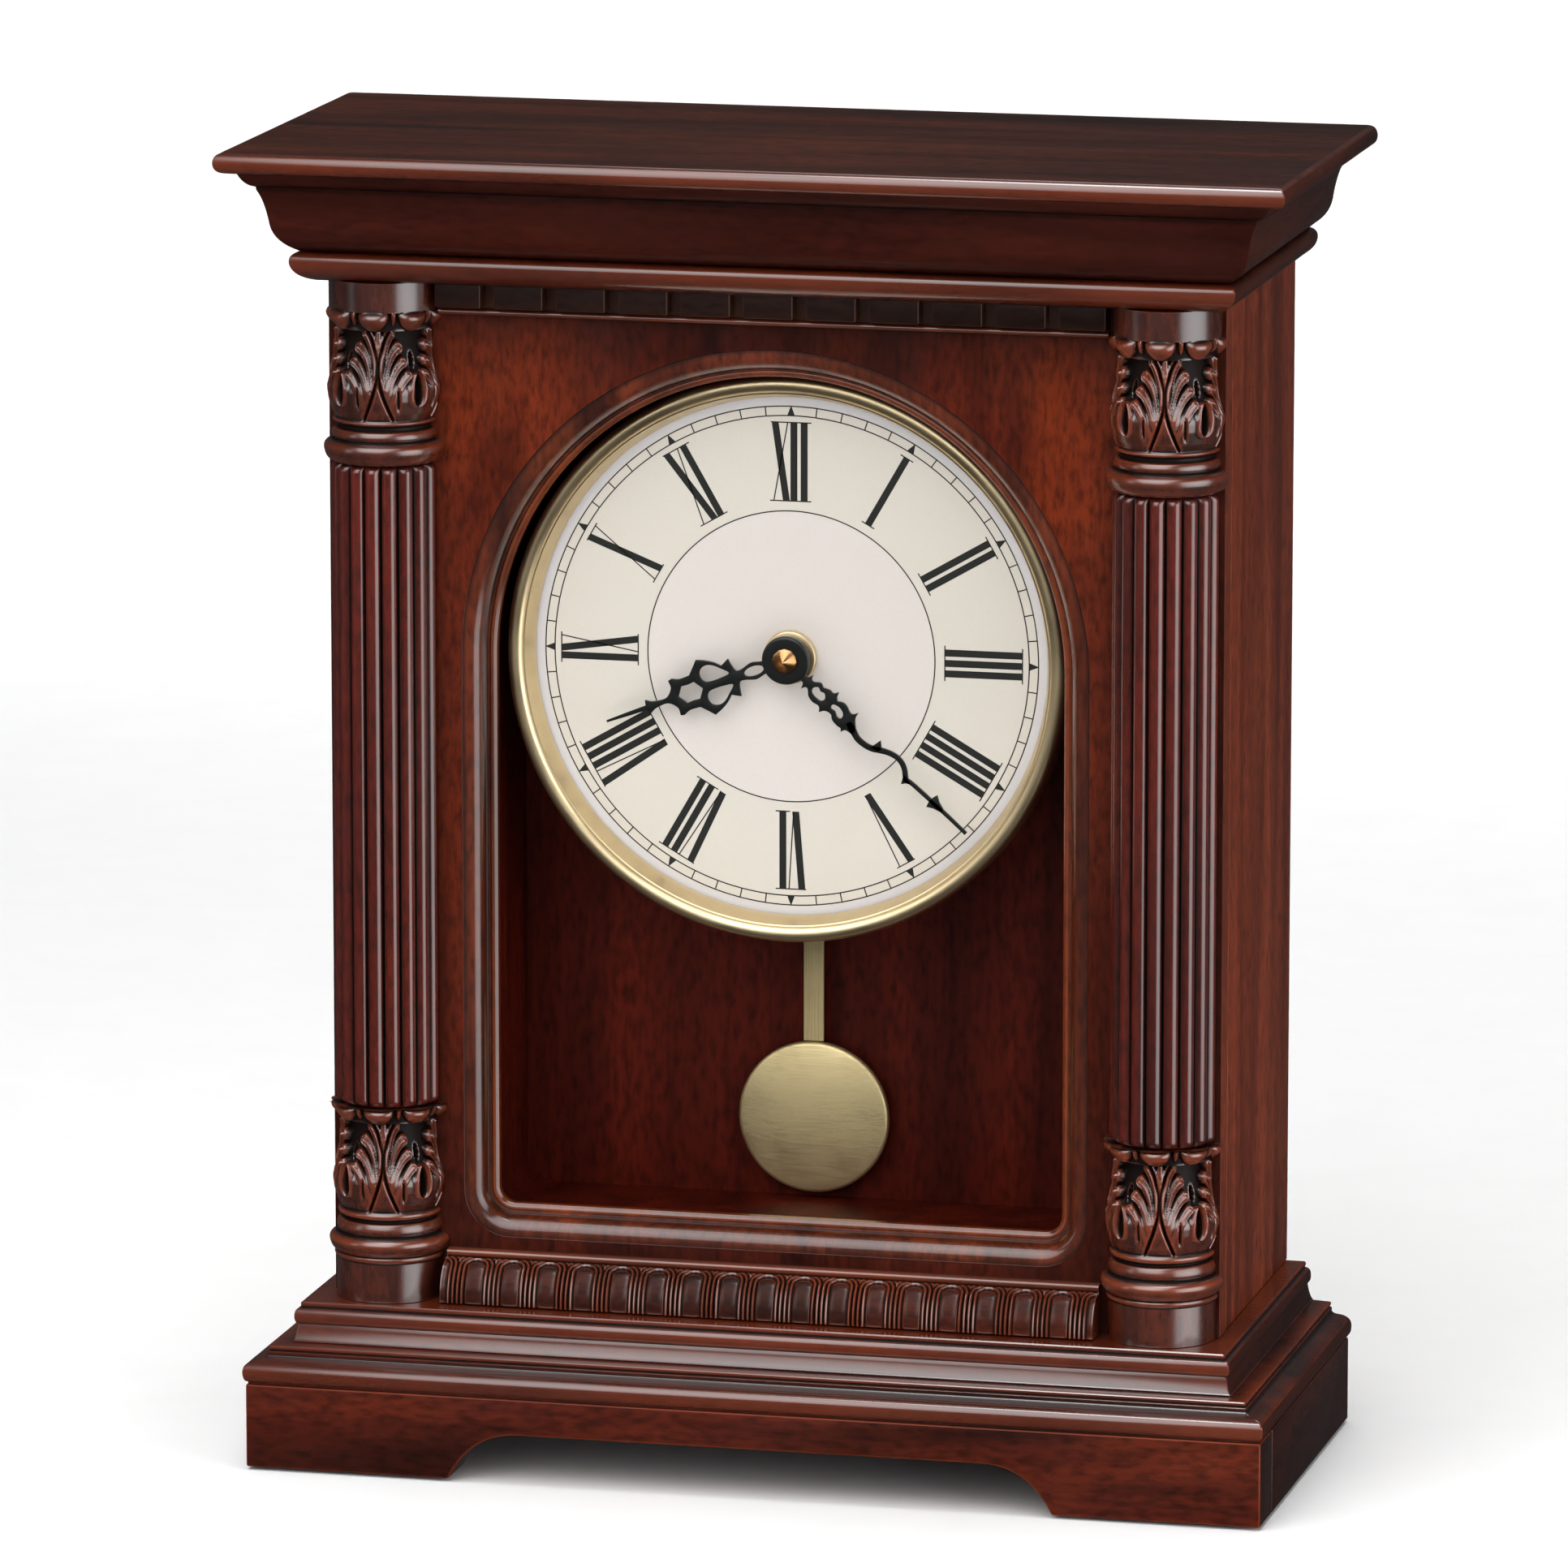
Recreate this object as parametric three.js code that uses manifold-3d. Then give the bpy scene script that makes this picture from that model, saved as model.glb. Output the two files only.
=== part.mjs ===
// A bracket-base mantel clock with an arched opening, round dial, swinging pendulum and hinged back door.
// Millimetres. +X is the viewer's right, the clock faces -Y, +Z is up.
// The origin is the middle of the footprint, on the surface that the clock stands on.

import * as THREE from "three";
import { mergeVertices } from "three/addons/utils/BufferGeometryUtils.js";
import Module from "manifold-3d";

const wasm = await Module();
wasm.setup();

// ---------------------------------------------------------------- driving dimensions

const CASE_HALF = 105.9; // half the width over the case sides
const CASE_FRONT = -25.8; // front face of the front board
const CASE_REAR = 55.3; // rear face of the case and its mouldings
const COLUMN_COVER = 10.3; // extra reach of the mouldings in front, which covers the columns
const TOTAL_HEIGHT = 311;
const FELT_TOP = 0.7;
const PLINTH_BOTTOM = 0.8;
const PLINTH_TOP = 20.65;
const BASE_JOINT = 29.3; // joint between the two base boards
const BASE_TOP = 38.6;
const CORNICE_BOTTOM = 279.75;
const SEAM = 0.15; // gap between pieces that are glued face to face

const FRONT_THICK = 7.5;
const SIDE_THICK = 8.9;
const PLINTH_THICK = 14;
const PLINTH_REACH = 15; // how far the plinth stands out past the case sides

const DIAL_Z = 191.15; // height of the dial's centre
const OPENING_HALF = 67.5; // half the width of the arched opening at its inner edge
const OPENING_BOTTOM = 60.3;
const OPENING_CORNER = 4;
const LINER_SETBACK = 3.3; // the recess is this much wider than the opening all round
const LINER_THICK = 3.5;
const RECESS_BACK = 18.2; // front face of the recess's back panel
const PANEL_THICK = 3;
const ACCESS_HALF = 49;
const ACCESS_BELOW = 38;
const ACCESS_ABOVE = 31;

const COLUMN_X = 92.5;
const COLUMN_R = 12.6;

const DIAL_FRONT = -8.5;
const DIAL_R = 62.6;
const BEZEL_R = 66.6;
const STUD_HOLE_R = 4.8;

const GEAR_DISTANCE = 12; // from the centre arbor to the minute wheel's stud
const MINUTE_ANGLE = 132.1; // clockwise from twelve
const HOUR_ANGLE = 249.1;

const PIVOT_Z = 168; // the pendulum's pivot
const PENDULUM_Y = 14.5;
const BOB_Z = 76.8;
const BOB_R = 18.15;

const HINGE_X = 95.3;
const HINGE_Y = 49.4;
const DOOR_FRONT = 44.5;
const DOOR_REAR = 49;
const SPEAKER_Z = 95;

const TURN_SEGMENTS = 40;

// ---------------------------------------------------------------- materials

function paint(color, roughness, metalness) {
  return new THREE.MeshStandardMaterial({ color, roughness, metalness });
}
const FINISHES = {
  caseWood: [0x4a2014, 0.35, 0],
  panelWood: [0x7a3a20, 0.35, 0],
  recessWood: [0x451611, 0.45, 0],
  carvedWood: [0x5a2a1a, 0.35, 0],
  plywood: [0x8a6a48, 0.7, 0],
  brass: [0xd9bd7c, 0.25, 1],
  oldBrass: [0xb09a64, 0.4, 1],
  dialCream: [0xefe9dc, 0.6, 0],
  black: [0x181a18, 0.5, 0.2],
  steel: [0x9a9c9e, 0.35, 1],
  plastic: [0x2b2d30, 0.6, 0],
  nylon: [0xe6e2d6, 0.5, 0],
  circuit: [0x1f5a33, 0.5, 0],
  cell: [0x6f7478, 0.4, 0.4],
  felt: [0x22382a, 0.95, 0],
};

const clock = new THREE.Group();

function put(name, geometry, finish, parent = clock) {
  const mesh = new THREE.Mesh(geometry, paint(...FINISHES[finish]));
  mesh.name = name;
  parent.add(mesh);
  return mesh;
}

// ---------------------------------------------------------------- shape helpers

// A closed geometry with shared vertices and its faces pointing out.
function closed(geometry) {
  geometry.deleteAttribute("normal");
  geometry.deleteAttribute("uv");
  const merged = mergeVertices(geometry, 1e-4);
  const position = merged.attributes.position;
  const index = merged.index.array;
  const corner = [new THREE.Vector3(), new THREE.Vector3(), new THREE.Vector3()];
  let volume = 0;
  for (let i = 0; i < index.length; i += 3) {
    corner.forEach((point, k) => point.fromBufferAttribute(position, index[i + k]));
    volume += corner[0].dot(corner[1].clone().cross(corner[2]));
  }
  if (volume < 0) index.reverse();
  return merged;
}

function toSolid(geometry) {
  const merged = closed(geometry);
  const vertProperties = new Float32Array(merged.attributes.position.array);
  const triVerts = new Uint32Array(merged.index.array);
  return new wasm.Manifold(new wasm.Mesh({ numProp: 3, vertProperties, triVerts }));
}

function fromSolid(solid) {
  const mesh = solid.getMesh();
  const geometry = new THREE.BufferGeometry();
  geometry.setAttribute("position", new THREE.BufferAttribute(new Float32Array(mesh.vertProperties), 3));
  geometry.setIndex(new THREE.BufferAttribute(new Uint32Array(mesh.triVerts), 1));
  return geometry;
}

function join(...geometries) {
  const solids = geometries.map(toSolid);
  return fromSolid(solids.reduce((sum, solid) => sum.add(solid)));
}

function cut(geometry, ...tools) {
  const solids = tools.map(toSolid);
  return fromSolid(solids.reduce((rest, tool) => rest.subtract(tool), toSolid(geometry)));
}

function block([x0, x1], [y0, y1], [z0, z1]) {
  const geometry = new THREE.BoxGeometry(x1 - x0, y1 - y0, z1 - z0);
  return geometry.translate((x0 + x1) / 2, (y0 + y1) / 2, (z0 + z1) / 2);
}

// A round solid about an axis along Y, from a list of [radius, y].
function turnedY(profile, x, z, segments = TURN_SEGMENTS) {
  const points = profile.map(([r, y]) => new THREE.Vector2(r, y));
  return closed(new THREE.LatheGeometry(points, segments)).translate(x, 0, z);
}

function rodY(radius, [y0, y1], x, z, segments = 20) {
  return turnedY([[0, y0], [radius, y0], [radius, y1], [0, y1]], x, z, segments);
}

// A flat outline drawn in x and z, given thickness from yFront to yRear.
function platedY(shape, yFront, yRear, curveSegments = 12) {
  const settings = { depth: yRear - yFront, bevelEnabled: false, curveSegments };
  const geometry = new THREE.ExtrudeGeometry(shape, settings);
  return geometry.rotateX(Math.PI / 2).translate(0, yRear, 0);
}

// A solid lofted through flat outlines that all have the same number of points.
function loft(outlines, levels, place) {
  if (THREE.ShapeUtils.isClockWise(outlines[0])) outlines = outlines.map((outline) => [...outline].reverse());
  const count = outlines[0].length;
  const positions = [];
  outlines.forEach((outline, i) => {
    outline.forEach((point) => positions.push(...place(point, levels[i])));
  });
  const triangles = [];
  for (let i = 0; i + 1 < outlines.length; i += 1) {
    for (let k = 0; k < count; k += 1) {
      const a = i * count + k;
      const b = i * count + ((k + 1) % count);
      triangles.push(a, b, b + count, a, b + count, a + count);
    }
  }
  const last = (outlines.length - 1) * count;
  THREE.ShapeUtils.triangulateShape(outlines[0], []).forEach(([a, b, c]) => triangles.push(c, b, a));
  THREE.ShapeUtils.triangulateShape(outlines.at(-1), []).forEach(([a, b, c]) => {
    triangles.push(last + a, last + b, last + c);
  });
  const geometry = new THREE.BufferGeometry();
  geometry.setAttribute("position", new THREE.BufferAttribute(new Float32Array(positions), 3));
  geometry.setIndex(triangles);
  return closed(geometry);
}

// ---------------------------------------------------------------- case

// A board whose front and side edges follow a moulding profile of [reach, z]; its rear is flat.
function mouldedBoard(profile) {
  const outlines = profile.map(([reach]) => {
    const side = CASE_HALF + reach;
    const front = CASE_FRONT - COLUMN_COVER - reach;
    const corners = [[-side, front], [side, front], [side, CASE_REAR], [-side, CASE_REAR]];
    return corners.map(([x, y]) => new THREE.Vector2(x, y));
  });
  const levels = profile.map(([, z]) => z);
  return loft(outlines, levels, (point, z) => [point.x, point.y, z]);
}

function buildPlinth() {
  const outer = CASE_HALF + PLINTH_REACH;
  const front = CASE_FRONT - COLUMN_COVER - PLINTH_REACH;
  const inner = outer - PLINTH_THICK;
  const heights = [PLINTH_BOTTOM, PLINTH_TOP];
  const footInside = 72;
  const archTop = 12.1;
  const archFlat = 55;
  const archLean = 66.5;
  const shape = new THREE.Shape();
  shape.moveTo(-outer, PLINTH_BOTTOM);
  shape.lineTo(-footInside, PLINTH_BOTTOM);
  shape.quadraticCurveTo(-archLean, archTop, -archFlat, archTop);
  shape.lineTo(archFlat, archTop);
  shape.quadraticCurveTo(archLean, archTop, footInside, PLINTH_BOTTOM);
  shape.lineTo(outer, PLINTH_BOTTOM);
  shape.lineTo(outer, PLINTH_TOP);
  shape.lineTo(-outer, PLINTH_TOP);
  put("plinth_front", platedY(shape, front, front + PLINTH_THICK, 8), "caseWood");
  const depth = [front + PLINTH_THICK + SEAM, CASE_REAR];
  put("plinth_left", block([-outer, -inner], depth, heights), "caseWood");
  put("plinth_right", block([inner, outer], depth, heights), "caseWood");
  const rear = [CASE_REAR - PLINTH_THICK, CASE_REAR - SEAM];
  put("plinth_rear", block([-inner + SEAM, inner - SEAM], rear, heights), "caseWood");
  const feltInset = 1.5;
  for (const [side, name] of [[-1, "felt_strip_left"], [1, "felt_strip_right"]]) {
    const edges = [side * (inner + feltInset), side * (outer - feltInset)].sort((a, b) => a - b);
    put(name, block(edges, [depth[0] + feltInset, CASE_REAR - feltInset], [0, FELT_TOP]), "felt");
  }
}

function buildBaseBoards() {
  const ovolo = [
    [14.6, PLINTH_TOP + SEAM], [14.6, 21.2], [13.6, 21.6], [13.9, 23], [13.7, 24.6],
    [12.9, 25.9], [11.2, 27], [9.1, 27.2], [8.6, 28.3], [7.4, 29], [5, BASE_JOINT],
  ];
  const nose = [
    [4.6, BASE_JOINT + SEAM], [3.7, 31], [3.4, 33], [4.2, 34], [4.6, 35.6], [4.3, 36.8],
    [3.3, 37.4], [2.8, 37.5], [2.8, BASE_TOP],
  ];
  put("base_board_lower", mouldedBoard(ovolo), "caseWood");
  put("base_board_upper", mouldedBoard(nose), "caseWood");
}

function buildCornice() {
  const bed = [
    [0.3, CORNICE_BOTTOM], [3.2, 281.2], [4.7, 282.9], [5.3, 284.5], [4.6, 285.6], [3.2, 286.6],
  ];
  const crown = [
    [3.2, 286.8], [5.4, 288.6], [7, 290.5], [8.2, 292.6], [9.2, 295.8], [10, 298.8], [11, 301.8],
    [11.2, 302.5], [12.3, 302.8], [13.3, 303.6], [14.3, 304.8], [14.8, 305.9],
  ];
  const top = [
    [16.8, 306.1], [17.9, 306.6], [18.9, 307.6], [19.2, 308.8], [18.8, 310], [17.7, 310.8],
    [16.5, TOTAL_HEIGHT],
  ];
  put("bed_moulding", mouldedBoard(bed), "caseWood");
  put("crown_moulding", mouldedBoard(crown), "caseWood");
  put("top_board", mouldedBoard(top), "caseWood");
}

// The outline of the arched opening, moved outwards by the given amount.
function archOutline(outward, arcSteps = 24) {
  const half = OPENING_HALF + outward;
  const bottom = OPENING_BOTTOM - outward;
  const corner = OPENING_CORNER + outward;
  const points = [];
  const arc = (x, z, radius, from, to, steps) => {
    for (let i = 0; i <= steps; i += 1) {
      const angle = from + ((to - from) * i) / steps;
      points.push(new THREE.Vector2(x + radius * Math.cos(angle), z + radius * Math.sin(angle)));
    }
  };
  const quarter = Math.PI / 2;
  const cornerSteps = 5;
  arc(half - corner, bottom + corner, corner, -quarter, 0, cornerSteps);
  arc(0, DIAL_Z, half, 0, 2 * quarter, arcSteps);
  arc(-half + corner, bottom + corner, corner, 2 * quarter, 3 * quarter, cornerSteps);
  return points;
}

function archPrism(outward, yFront, yRear) {
  const outline = archOutline(outward);
  return loft([outline, outline], [yFront, yRear], (point, y) => [point.x, y, point.y]);
}

function buildFrontBoard() {
  const rear = CASE_FRONT + FRONT_THICK;
  const heights = [BASE_TOP + SEAM, CORNICE_BOTTOM - SEAM];
  const board = block([-CASE_HALF, CASE_HALF], [CASE_FRONT, rear], heights);
  // The moulded edge: how far outside the opening's edge, and at which depth behind the face.
  const edge = [
    [7.1, -0.5], [7.1, 0], [5.6, 0.4], [4.2, 1.6], [3.4, 3.4], [2.1, 3.6], [2.1, 5.2], [0, 5.8], [0, 8],
  ];
  const outlines = edge.map(([outward]) => archOutline(outward));
  const levels = edge.map(([, depth]) => CASE_FRONT + depth);
  const opening = loft(outlines, levels, (point, y) => [point.x, y, point.y]);
  put("front_board", cut(board, opening), "panelWood");
}

function buildCaseWalls() {
  const heights = [BASE_TOP + SEAM, CORNICE_BOTTOM - SEAM];
  const front = CASE_FRONT + FRONT_THICK + SEAM;
  const inner = CASE_HALF - SIDE_THICK;
  put("side_left", block([-CASE_HALF, -inner], [front, CASE_REAR], heights), "caseWood");
  put("side_right", block([inner, CASE_HALF], [front, CASE_REAR], heights), "caseWood");

  const linerOuter = archPrism(LINER_SETBACK + LINER_THICK, front, RECESS_BACK - SEAM);
  const linerInner = archPrism(LINER_SETBACK, front - 1, RECESS_BACK + 1);
  put("recess_liner", cut(linerOuter, linerInner), "recessWood");

  const panelSide = inner - SEAM;
  const panelDepth = [RECESS_BACK, RECESS_BACK + PANEL_THICK];
  const panel = block([-panelSide, panelSide], panelDepth, heights);
  const access = block(
    [-ACCESS_HALF, ACCESS_HALF],
    [RECESS_BACK - 1, RECESS_BACK + PANEL_THICK + 1],
    [DIAL_Z - ACCESS_BELOW, DIAL_Z + ACCESS_ABOVE],
  );
  put("recess_back_panel", cut(panel, access), "recessWood");

  const cleatDepth = [RECESS_BACK + PANEL_THICK + SEAM, 40];
  const cleatWidth = 8.5;
  for (const [side, name] of [[-1, "cleat_left"], [1, "cleat_right"]]) {
    const edges = [side * panelSide, side * (panelSide - cleatWidth)].sort((a, b) => a - b);
    put(name, block(edges, cleatDepth, [45, 270]), "plywood");
  }
  put("magnet_catch", block([-96, -89], [40.3, 44.1], [150, 180]), "black");
}

// ---------------------------------------------------------------- carved pieces on the front

// A half-round turning about a vertical axis, flat against the front board.
function halfTurned(x, profile) {
  const steps = 20;
  const rear = CASE_FRONT - SEAM;
  const outlines = profile.map(([radius]) => {
    const points = [];
    for (let i = 0; i <= steps; i += 1) {
      const angle = Math.PI + (Math.PI * i) / steps;
      points.push(new THREE.Vector2(x + radius * Math.cos(angle), rear + radius * Math.sin(angle)));
    }
    return points;
  });
  const levels = profile.map(([, z]) => z);
  return loft(outlines, levels, (point, z) => [point.x, point.y, z]);
}

function reededShaft(x, z0, z1) {
  const reeds = 9;
  const stepsPerReed = 4;
  const reedDepth = 1.1;
  const rear = CASE_FRONT - SEAM;
  const outline = [];
  for (let i = 0; i <= reeds * stepsPerReed; i += 1) {
    const along = i / stepsPerReed;
    const radius = COLUMN_R - reedDepth * (1 - Math.abs(Math.sin(Math.PI * along)));
    const angle = Math.PI + (Math.PI * along) / reeds;
    outline.push(new THREE.Vector2(x + radius * Math.cos(angle), rear + radius * Math.sin(angle)));
  }
  return loft([outline, outline], [z0, z1], (point, z) => [point.x, point.y, z]);
}

// The bell behind a column's carved leaves, from the top down: narrow at the top and full below.
function bell(bottom) {
  const shape = [
    [11.3, 20.8], [11.5, 18.2], [12.3, 14.6], [13.1, 11], [13.4, 7.6], [13.1, 4.6], [12.4, 1.8],
  ];
  return shape.map(([radius, rise]) => [radius, bottom + rise]);
}

function buildColumns() {
  const capital = [
    [COLUMN_R, CORNICE_BOTTOM - SEAM], [COLUMN_R, 272.8], [13.1, 272.4], [13.1, 268.6], ...bell(247.2),
    [11.6, 247.4], [12.3, 247.1], [12.3, 246.2], [10.9, 245.8], [10.9, 244.9], [12.3, 244.5],
    [12.6, 243.5], [12.2, 242.4], [13.4, 241.6], [14, 239.6], [13.4, 237.4], [12.3, 236.9],
  ];
  const base = [
    [12.6, 85], [13.1, 84.7], [13.1, 81.5], ...bell(60.2), [11.6, 60.3], [12.3, 60], [12.3, 58.6],
    [10.9, 58.2], [10.9, 57.4], [12.4, 57], [12.7, 55.7], [12.3, 54.3], [13.5, 53.7], [14.1, 51.8],
    [13.5, 49.9], [12.9, 49.6], [12.9, 48.5], [COLUMN_R, 48.3], [COLUMN_R, BASE_TOP + SEAM],
  ];
  for (const [side, label] of [[-1, "left"], [1, "right"]]) {
    const x = side * COLUMN_X;
    put(`column_capital_${label}`, halfTurned(x, capital), "carvedWood");
    put(`column_shaft_${label}`, reededShaft(x, 85.15, 236.75), "carvedWood");
    put(`column_base_${label}`, halfTurned(x, base), "carvedWood");
  }
}

function buildDentils() {
  const half = 79;
  const pitch = 14.8;
  const groove = 3.2;
  const rear = CASE_FRONT - SEAM;
  const front = -31.2;
  const tops = [273.6, CORNICE_BOTTOM - SEAM];
  const edges = [-half];
  for (let k = -5; k < 5; k += 1) {
    const middle = (k + 0.5) * pitch;
    edges.push(middle - groove / 2, middle + groove / 2);
  }
  edges.push(half);
  const pieces = [block([-half, half], [rear - 1.4, rear], [271.5, tops[1]])];
  for (let i = 0; i < edges.length; i += 2) {
    pieces.push(block([edges[i], edges[i + 1]], [front, rear - 0.2], tops));
  }
  pieces.push(block([-half, half], [rear - 2.2, rear - 0.2], [271.5, 272.9]));
  put("dentil_strip", join(...pieces), "carvedWood");
}

function buildReelMoulding() {
  const half = 78;
  const rear = CASE_FRONT - SEAM;
  const outline = [
    [rear, BASE_TOP + SEAM], [-35.2, BASE_TOP + SEAM], [-35.4, 42], [-34.4, 45], [-32.4, 47.2],
    [-29.4, 48.3], [-28.4, 48.6], [-28.6, 50], [rear, 50.4],
  ];
  const points = outline.map(([y, z]) => new THREE.Vector2(y, z));
  const moulding = loft([points, points], [-half, half], (point, x) => [x, point.x, point.y]);
  put("reel_moulding", moulding, "carvedWood");
}

// ---------------------------------------------------------------- dial

function buildDial() {
  const plate = [
    [STUD_HOLE_R, DIAL_FRONT], [DIAL_R, DIAL_FRONT], [DIAL_R, -7.7], [STUD_HOLE_R, -7.7],
    [STUD_HOLE_R, DIAL_FRONT],
  ];
  put("dial_plate", turnedY(plate, 0, DIAL_Z), "dialCream");

  const pan = [
    [STUD_HOLE_R, -7.5], [63.2, -7.5], [63.2, -12.2], [64.2, -12.2], [64.2, -6.5], [STUD_HOLE_R, -6.5],
    [STUD_HOLE_R, -7.5],
  ];
  put("dial_pan", turnedY(pan, 0, DIAL_Z), "steel");

  const bezel = [
    [61, -9], [63, -9], [63, -12.5], [64.5, -12.5], [64.5, -7], [BEZEL_R, -7], [BEZEL_R, -12.8],
    [65.9, -14.6], [64.6, -15.4], [63.2, -15], [62.5, -14], [61, -9],
  ];
  put("bezel", turnedY(bezel, 0, DIAL_Z), "brass");

  const washer = [[4.6, -10.3], [6.1, -10.3], [6.25, -8.8], [4.6, -8.8], [4.6, -10.3]];
  put("dial_washer", turnedY(washer, 0, DIAL_Z, 32), "brass");

  const postX = 35;
  const postRise = { upper: 46, lower: -48 };
  for (const [level, rise] of Object.entries(postRise)) {
    for (const [side, label] of [[-1, "left"], [1, "right"]]) {
      const post = rodY(2.5, [-6.2, RECESS_BACK - SEAM], side * postX, DIAL_Z + rise, 16);
      put(`dial_post_${level}_${label}`, post, "steel");
    }
  }
}

// ---------------------------------------------------------------- hands

// A strip that follows a list of [distance from the hub, sideways, half width], drawn as one outline.
function stripShape(stations) {
  const leftSide = [];
  const rightSide = [];
  stations.forEach(([along, aside, half], i) => {
    const before = stations[Math.max(i - 1, 0)];
    const after = stations[Math.min(i + 1, stations.length - 1)];
    const direction = new THREE.Vector2(after[1] - before[1], after[0] - before[0]).normalize();
    leftSide.push(new THREE.Vector2(aside - half * direction.y, along + half * direction.x));
    rightSide.push(new THREE.Vector2(aside + half * direction.y, along - half * direction.x));
  });
  return new THREE.Shape([...rightSide, ...leftSide.reverse()]);
}

function loopShape(along, aside, halfLong, halfWide, wall, lean = 0) {
  const shape = new THREE.Shape();
  shape.absellipse(aside, along, halfWide, halfLong, 0, 2 * Math.PI, false, lean);
  const hole = new THREE.Path();
  hole.absellipse(aside, along, halfWide - wall, halfLong - wall, 0, 2 * Math.PI, false, lean);
  shape.holes.push(hole);
  return shape;
}

function discShape(radius) {
  const shape = new THREE.Shape();
  shape.absarc(0, 0, radius, 0, 2 * Math.PI, false);
  return shape;
}

// Joins flat shapes into one hand with a round bore, turned clockwise from twelve and set on the dial.
function makeHand(shapes, bore, [yFront, yRear], degrees) {
  const plates = shapes.map((shape) => platedY(shape, yFront, yRear, 5));
  const hand = cut(join(...plates), rodY(bore, [yFront - 1, yRear + 1], 0, 0, 16));
  return hand.rotateY(THREE.MathUtils.degToRad(degrees)).translate(0, 0, DIAL_Z);
}

function hourHandShapes() {
  const wall = 0.9;
  return [
    discShape(4.3),
    loopShape(7.6, 0, 4, 2.1, wall),
    stripShape([[11, 0, 1], [12.6, 0, 1.5], [14, 0, 0.7], [20, 0, 0.7], [22.5, 0, 0.9], [23.4, 0, 1.2]]),
    loopShape(17, -2.9, 4, 2.7, wall, 0.35),
    loopShape(17, 2.9, 4, 2.7, wall, -0.35),
    loopShape(26.9, 0, 4.4, 3.7, wall),
    stripShape([[30.8, 0, 1], [33.4, 0, 0.8], [34.4, 0, 1.6], [36, 0, 0.9], [45, 0, 0.25]]),
  ];
}

function minuteHandShapes() {
  const wall = 0.8;
  return [
    discShape(5.65),
    stripShape([
      [5, 0, 0.9], [7.4, 0, 1.5], [9, 0, 0.6], [13.6, 0, 0.5], [15.4, 0, 1.2], [17, 0, 0.6], [19, 0, 0.8],
    ]),
    loopShape(10.8, -1.2, 2.4, 1.7, wall, 0.5),
    loopShape(12.8, 1.2, 2.4, 1.7, wall, 0.5),
    loopShape(17.6, -1.1, 2.2, 1.6, wall, 0.5),
    stripShape([
      [18.6, 0, 0.8], [20.4, 0.2, 1.3], [21.6, 0.2, 1.9], [23, 0.5, 0.65], [25, 1.6, 0.65], [27, 2, 0.65],
      [29, 1.3, 0.7], [31, -0.1, 0.7], [33, -1.4, 0.65], [35.2, -2.2, 0.65], [37.4, -2, 0.65],
      [39.4, -0.9, 0.65], [41, 0.2, 0.9], [43, 0, 0.6], [47, 0, 0.5], [49, 0, 1.9], [51.6, 0, 0.7],
      [53, 0, 0.5], [59.4, 0, 0.25],
    ]),
  ];
}

// ---------------------------------------------------------------- gears

// A toothed disc with flat-sided teeth; phase turns it so that a tooth points that way.
function gearShape(teeth, module, phase) {
  const pitch = (2 * Math.PI) / teeth;
  const pitchRadius = (module * teeth) / 2;
  const root = pitchRadius - 1.15 * module;
  const tip = pitchRadius + 0.85 * module;
  const rootHalf = 0.24 * pitch;
  const tipHalf = 0.1 * pitch;
  const points = [];
  for (let k = 0; k < teeth; k += 1) {
    const middle = phase + k * pitch;
    for (const [angle, radius] of [[-rootHalf, root], [-tipHalf, tip], [tipHalf, tip], [rootHalf, root]]) {
      const turn = middle + angle;
      points.push(new THREE.Vector2(radius * Math.cos(turn), radius * Math.sin(turn)));
    }
  }
  return new THREE.Shape(points);
}

function gear(teeth, module, phase, [yFront, yRear]) {
  return platedY(gearShape(teeth, module, phase), yFront, yRear);
}

function buildMotionWork() {
  // Centre arbor with its twelve-leaf pinion, and the thirty-six-tooth minute wheel on a stud to its left.
  const fineModule = 0.5;
  const coarseModule = 0.48;
  const towardsStud = Math.PI;
  const wheelGap = Math.PI / 36;
  const arborRadius = 1;
  const boreRadius = 1.08;
  const arbor = join(
    rodY(arborRadius, [-15.5, 16], 0, 0, 16),
    gear(12, fineModule, towardsStud, [-1.6, 0.2]),
  );
  put("minute_arbor", arbor.translate(0, 0, DIAL_Z), "steel");

  const wheelPlate = gear(36, fineModule, wheelGap, [-1.2, -0.2]);
  const pinion = gear(10, coarseModule, 0, [-3.6, -1.1]);
  const wheel = cut(join(wheelPlate, pinion), rodY(0.8, [-5, 1], 0, 0, 12));
  put("minute_wheel", wheel.translate(-GEAR_DISTANCE, 0, DIAL_Z), "nylon");

  const hourPlate = gear(40, coarseModule, towardsStud + Math.PI / 40, [-3.4, -2.2]);
  const pipe = rodY(2.92, [-12.8, -2.3], 0, 0, 24);
  const hourWheel = cut(join(hourPlate, pipe), rodY(boreRadius, [-14, 0], 0, 0, 16));
  put("hour_wheel", hourWheel.translate(0, 0, DIAL_Z), "nylon");

  put("hour_hand", makeHand(hourHandShapes(), 3, [-12.3, -11.5], HOUR_ANGLE), "black");
  put("minute_hand", makeHand(minuteHandShapes(), boreRadius, [-14.3, -13.5], MINUTE_ANGLE), "black");

  const nut = [
    [0, -17.4], [0.4, -17.4], [2.9, -15.1], [2.9, -14.5], [boreRadius, -14.5], [boreRadius, -15.8],
    [0, -15.8],
  ];
  put("cap_nut", turnedY(nut, 0, DIAL_Z, 24), "brass");
  const knob = [
    [0, 16.9], [5.3, 16.9], [6, 16.2], [6, 11.8], [boreRadius, 11.8], [boreRadius, 16.3], [0, 16.3],
  ];
  put("set_knob", turnedY(knob, 0, DIAL_Z, 20), "plastic");
}

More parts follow.
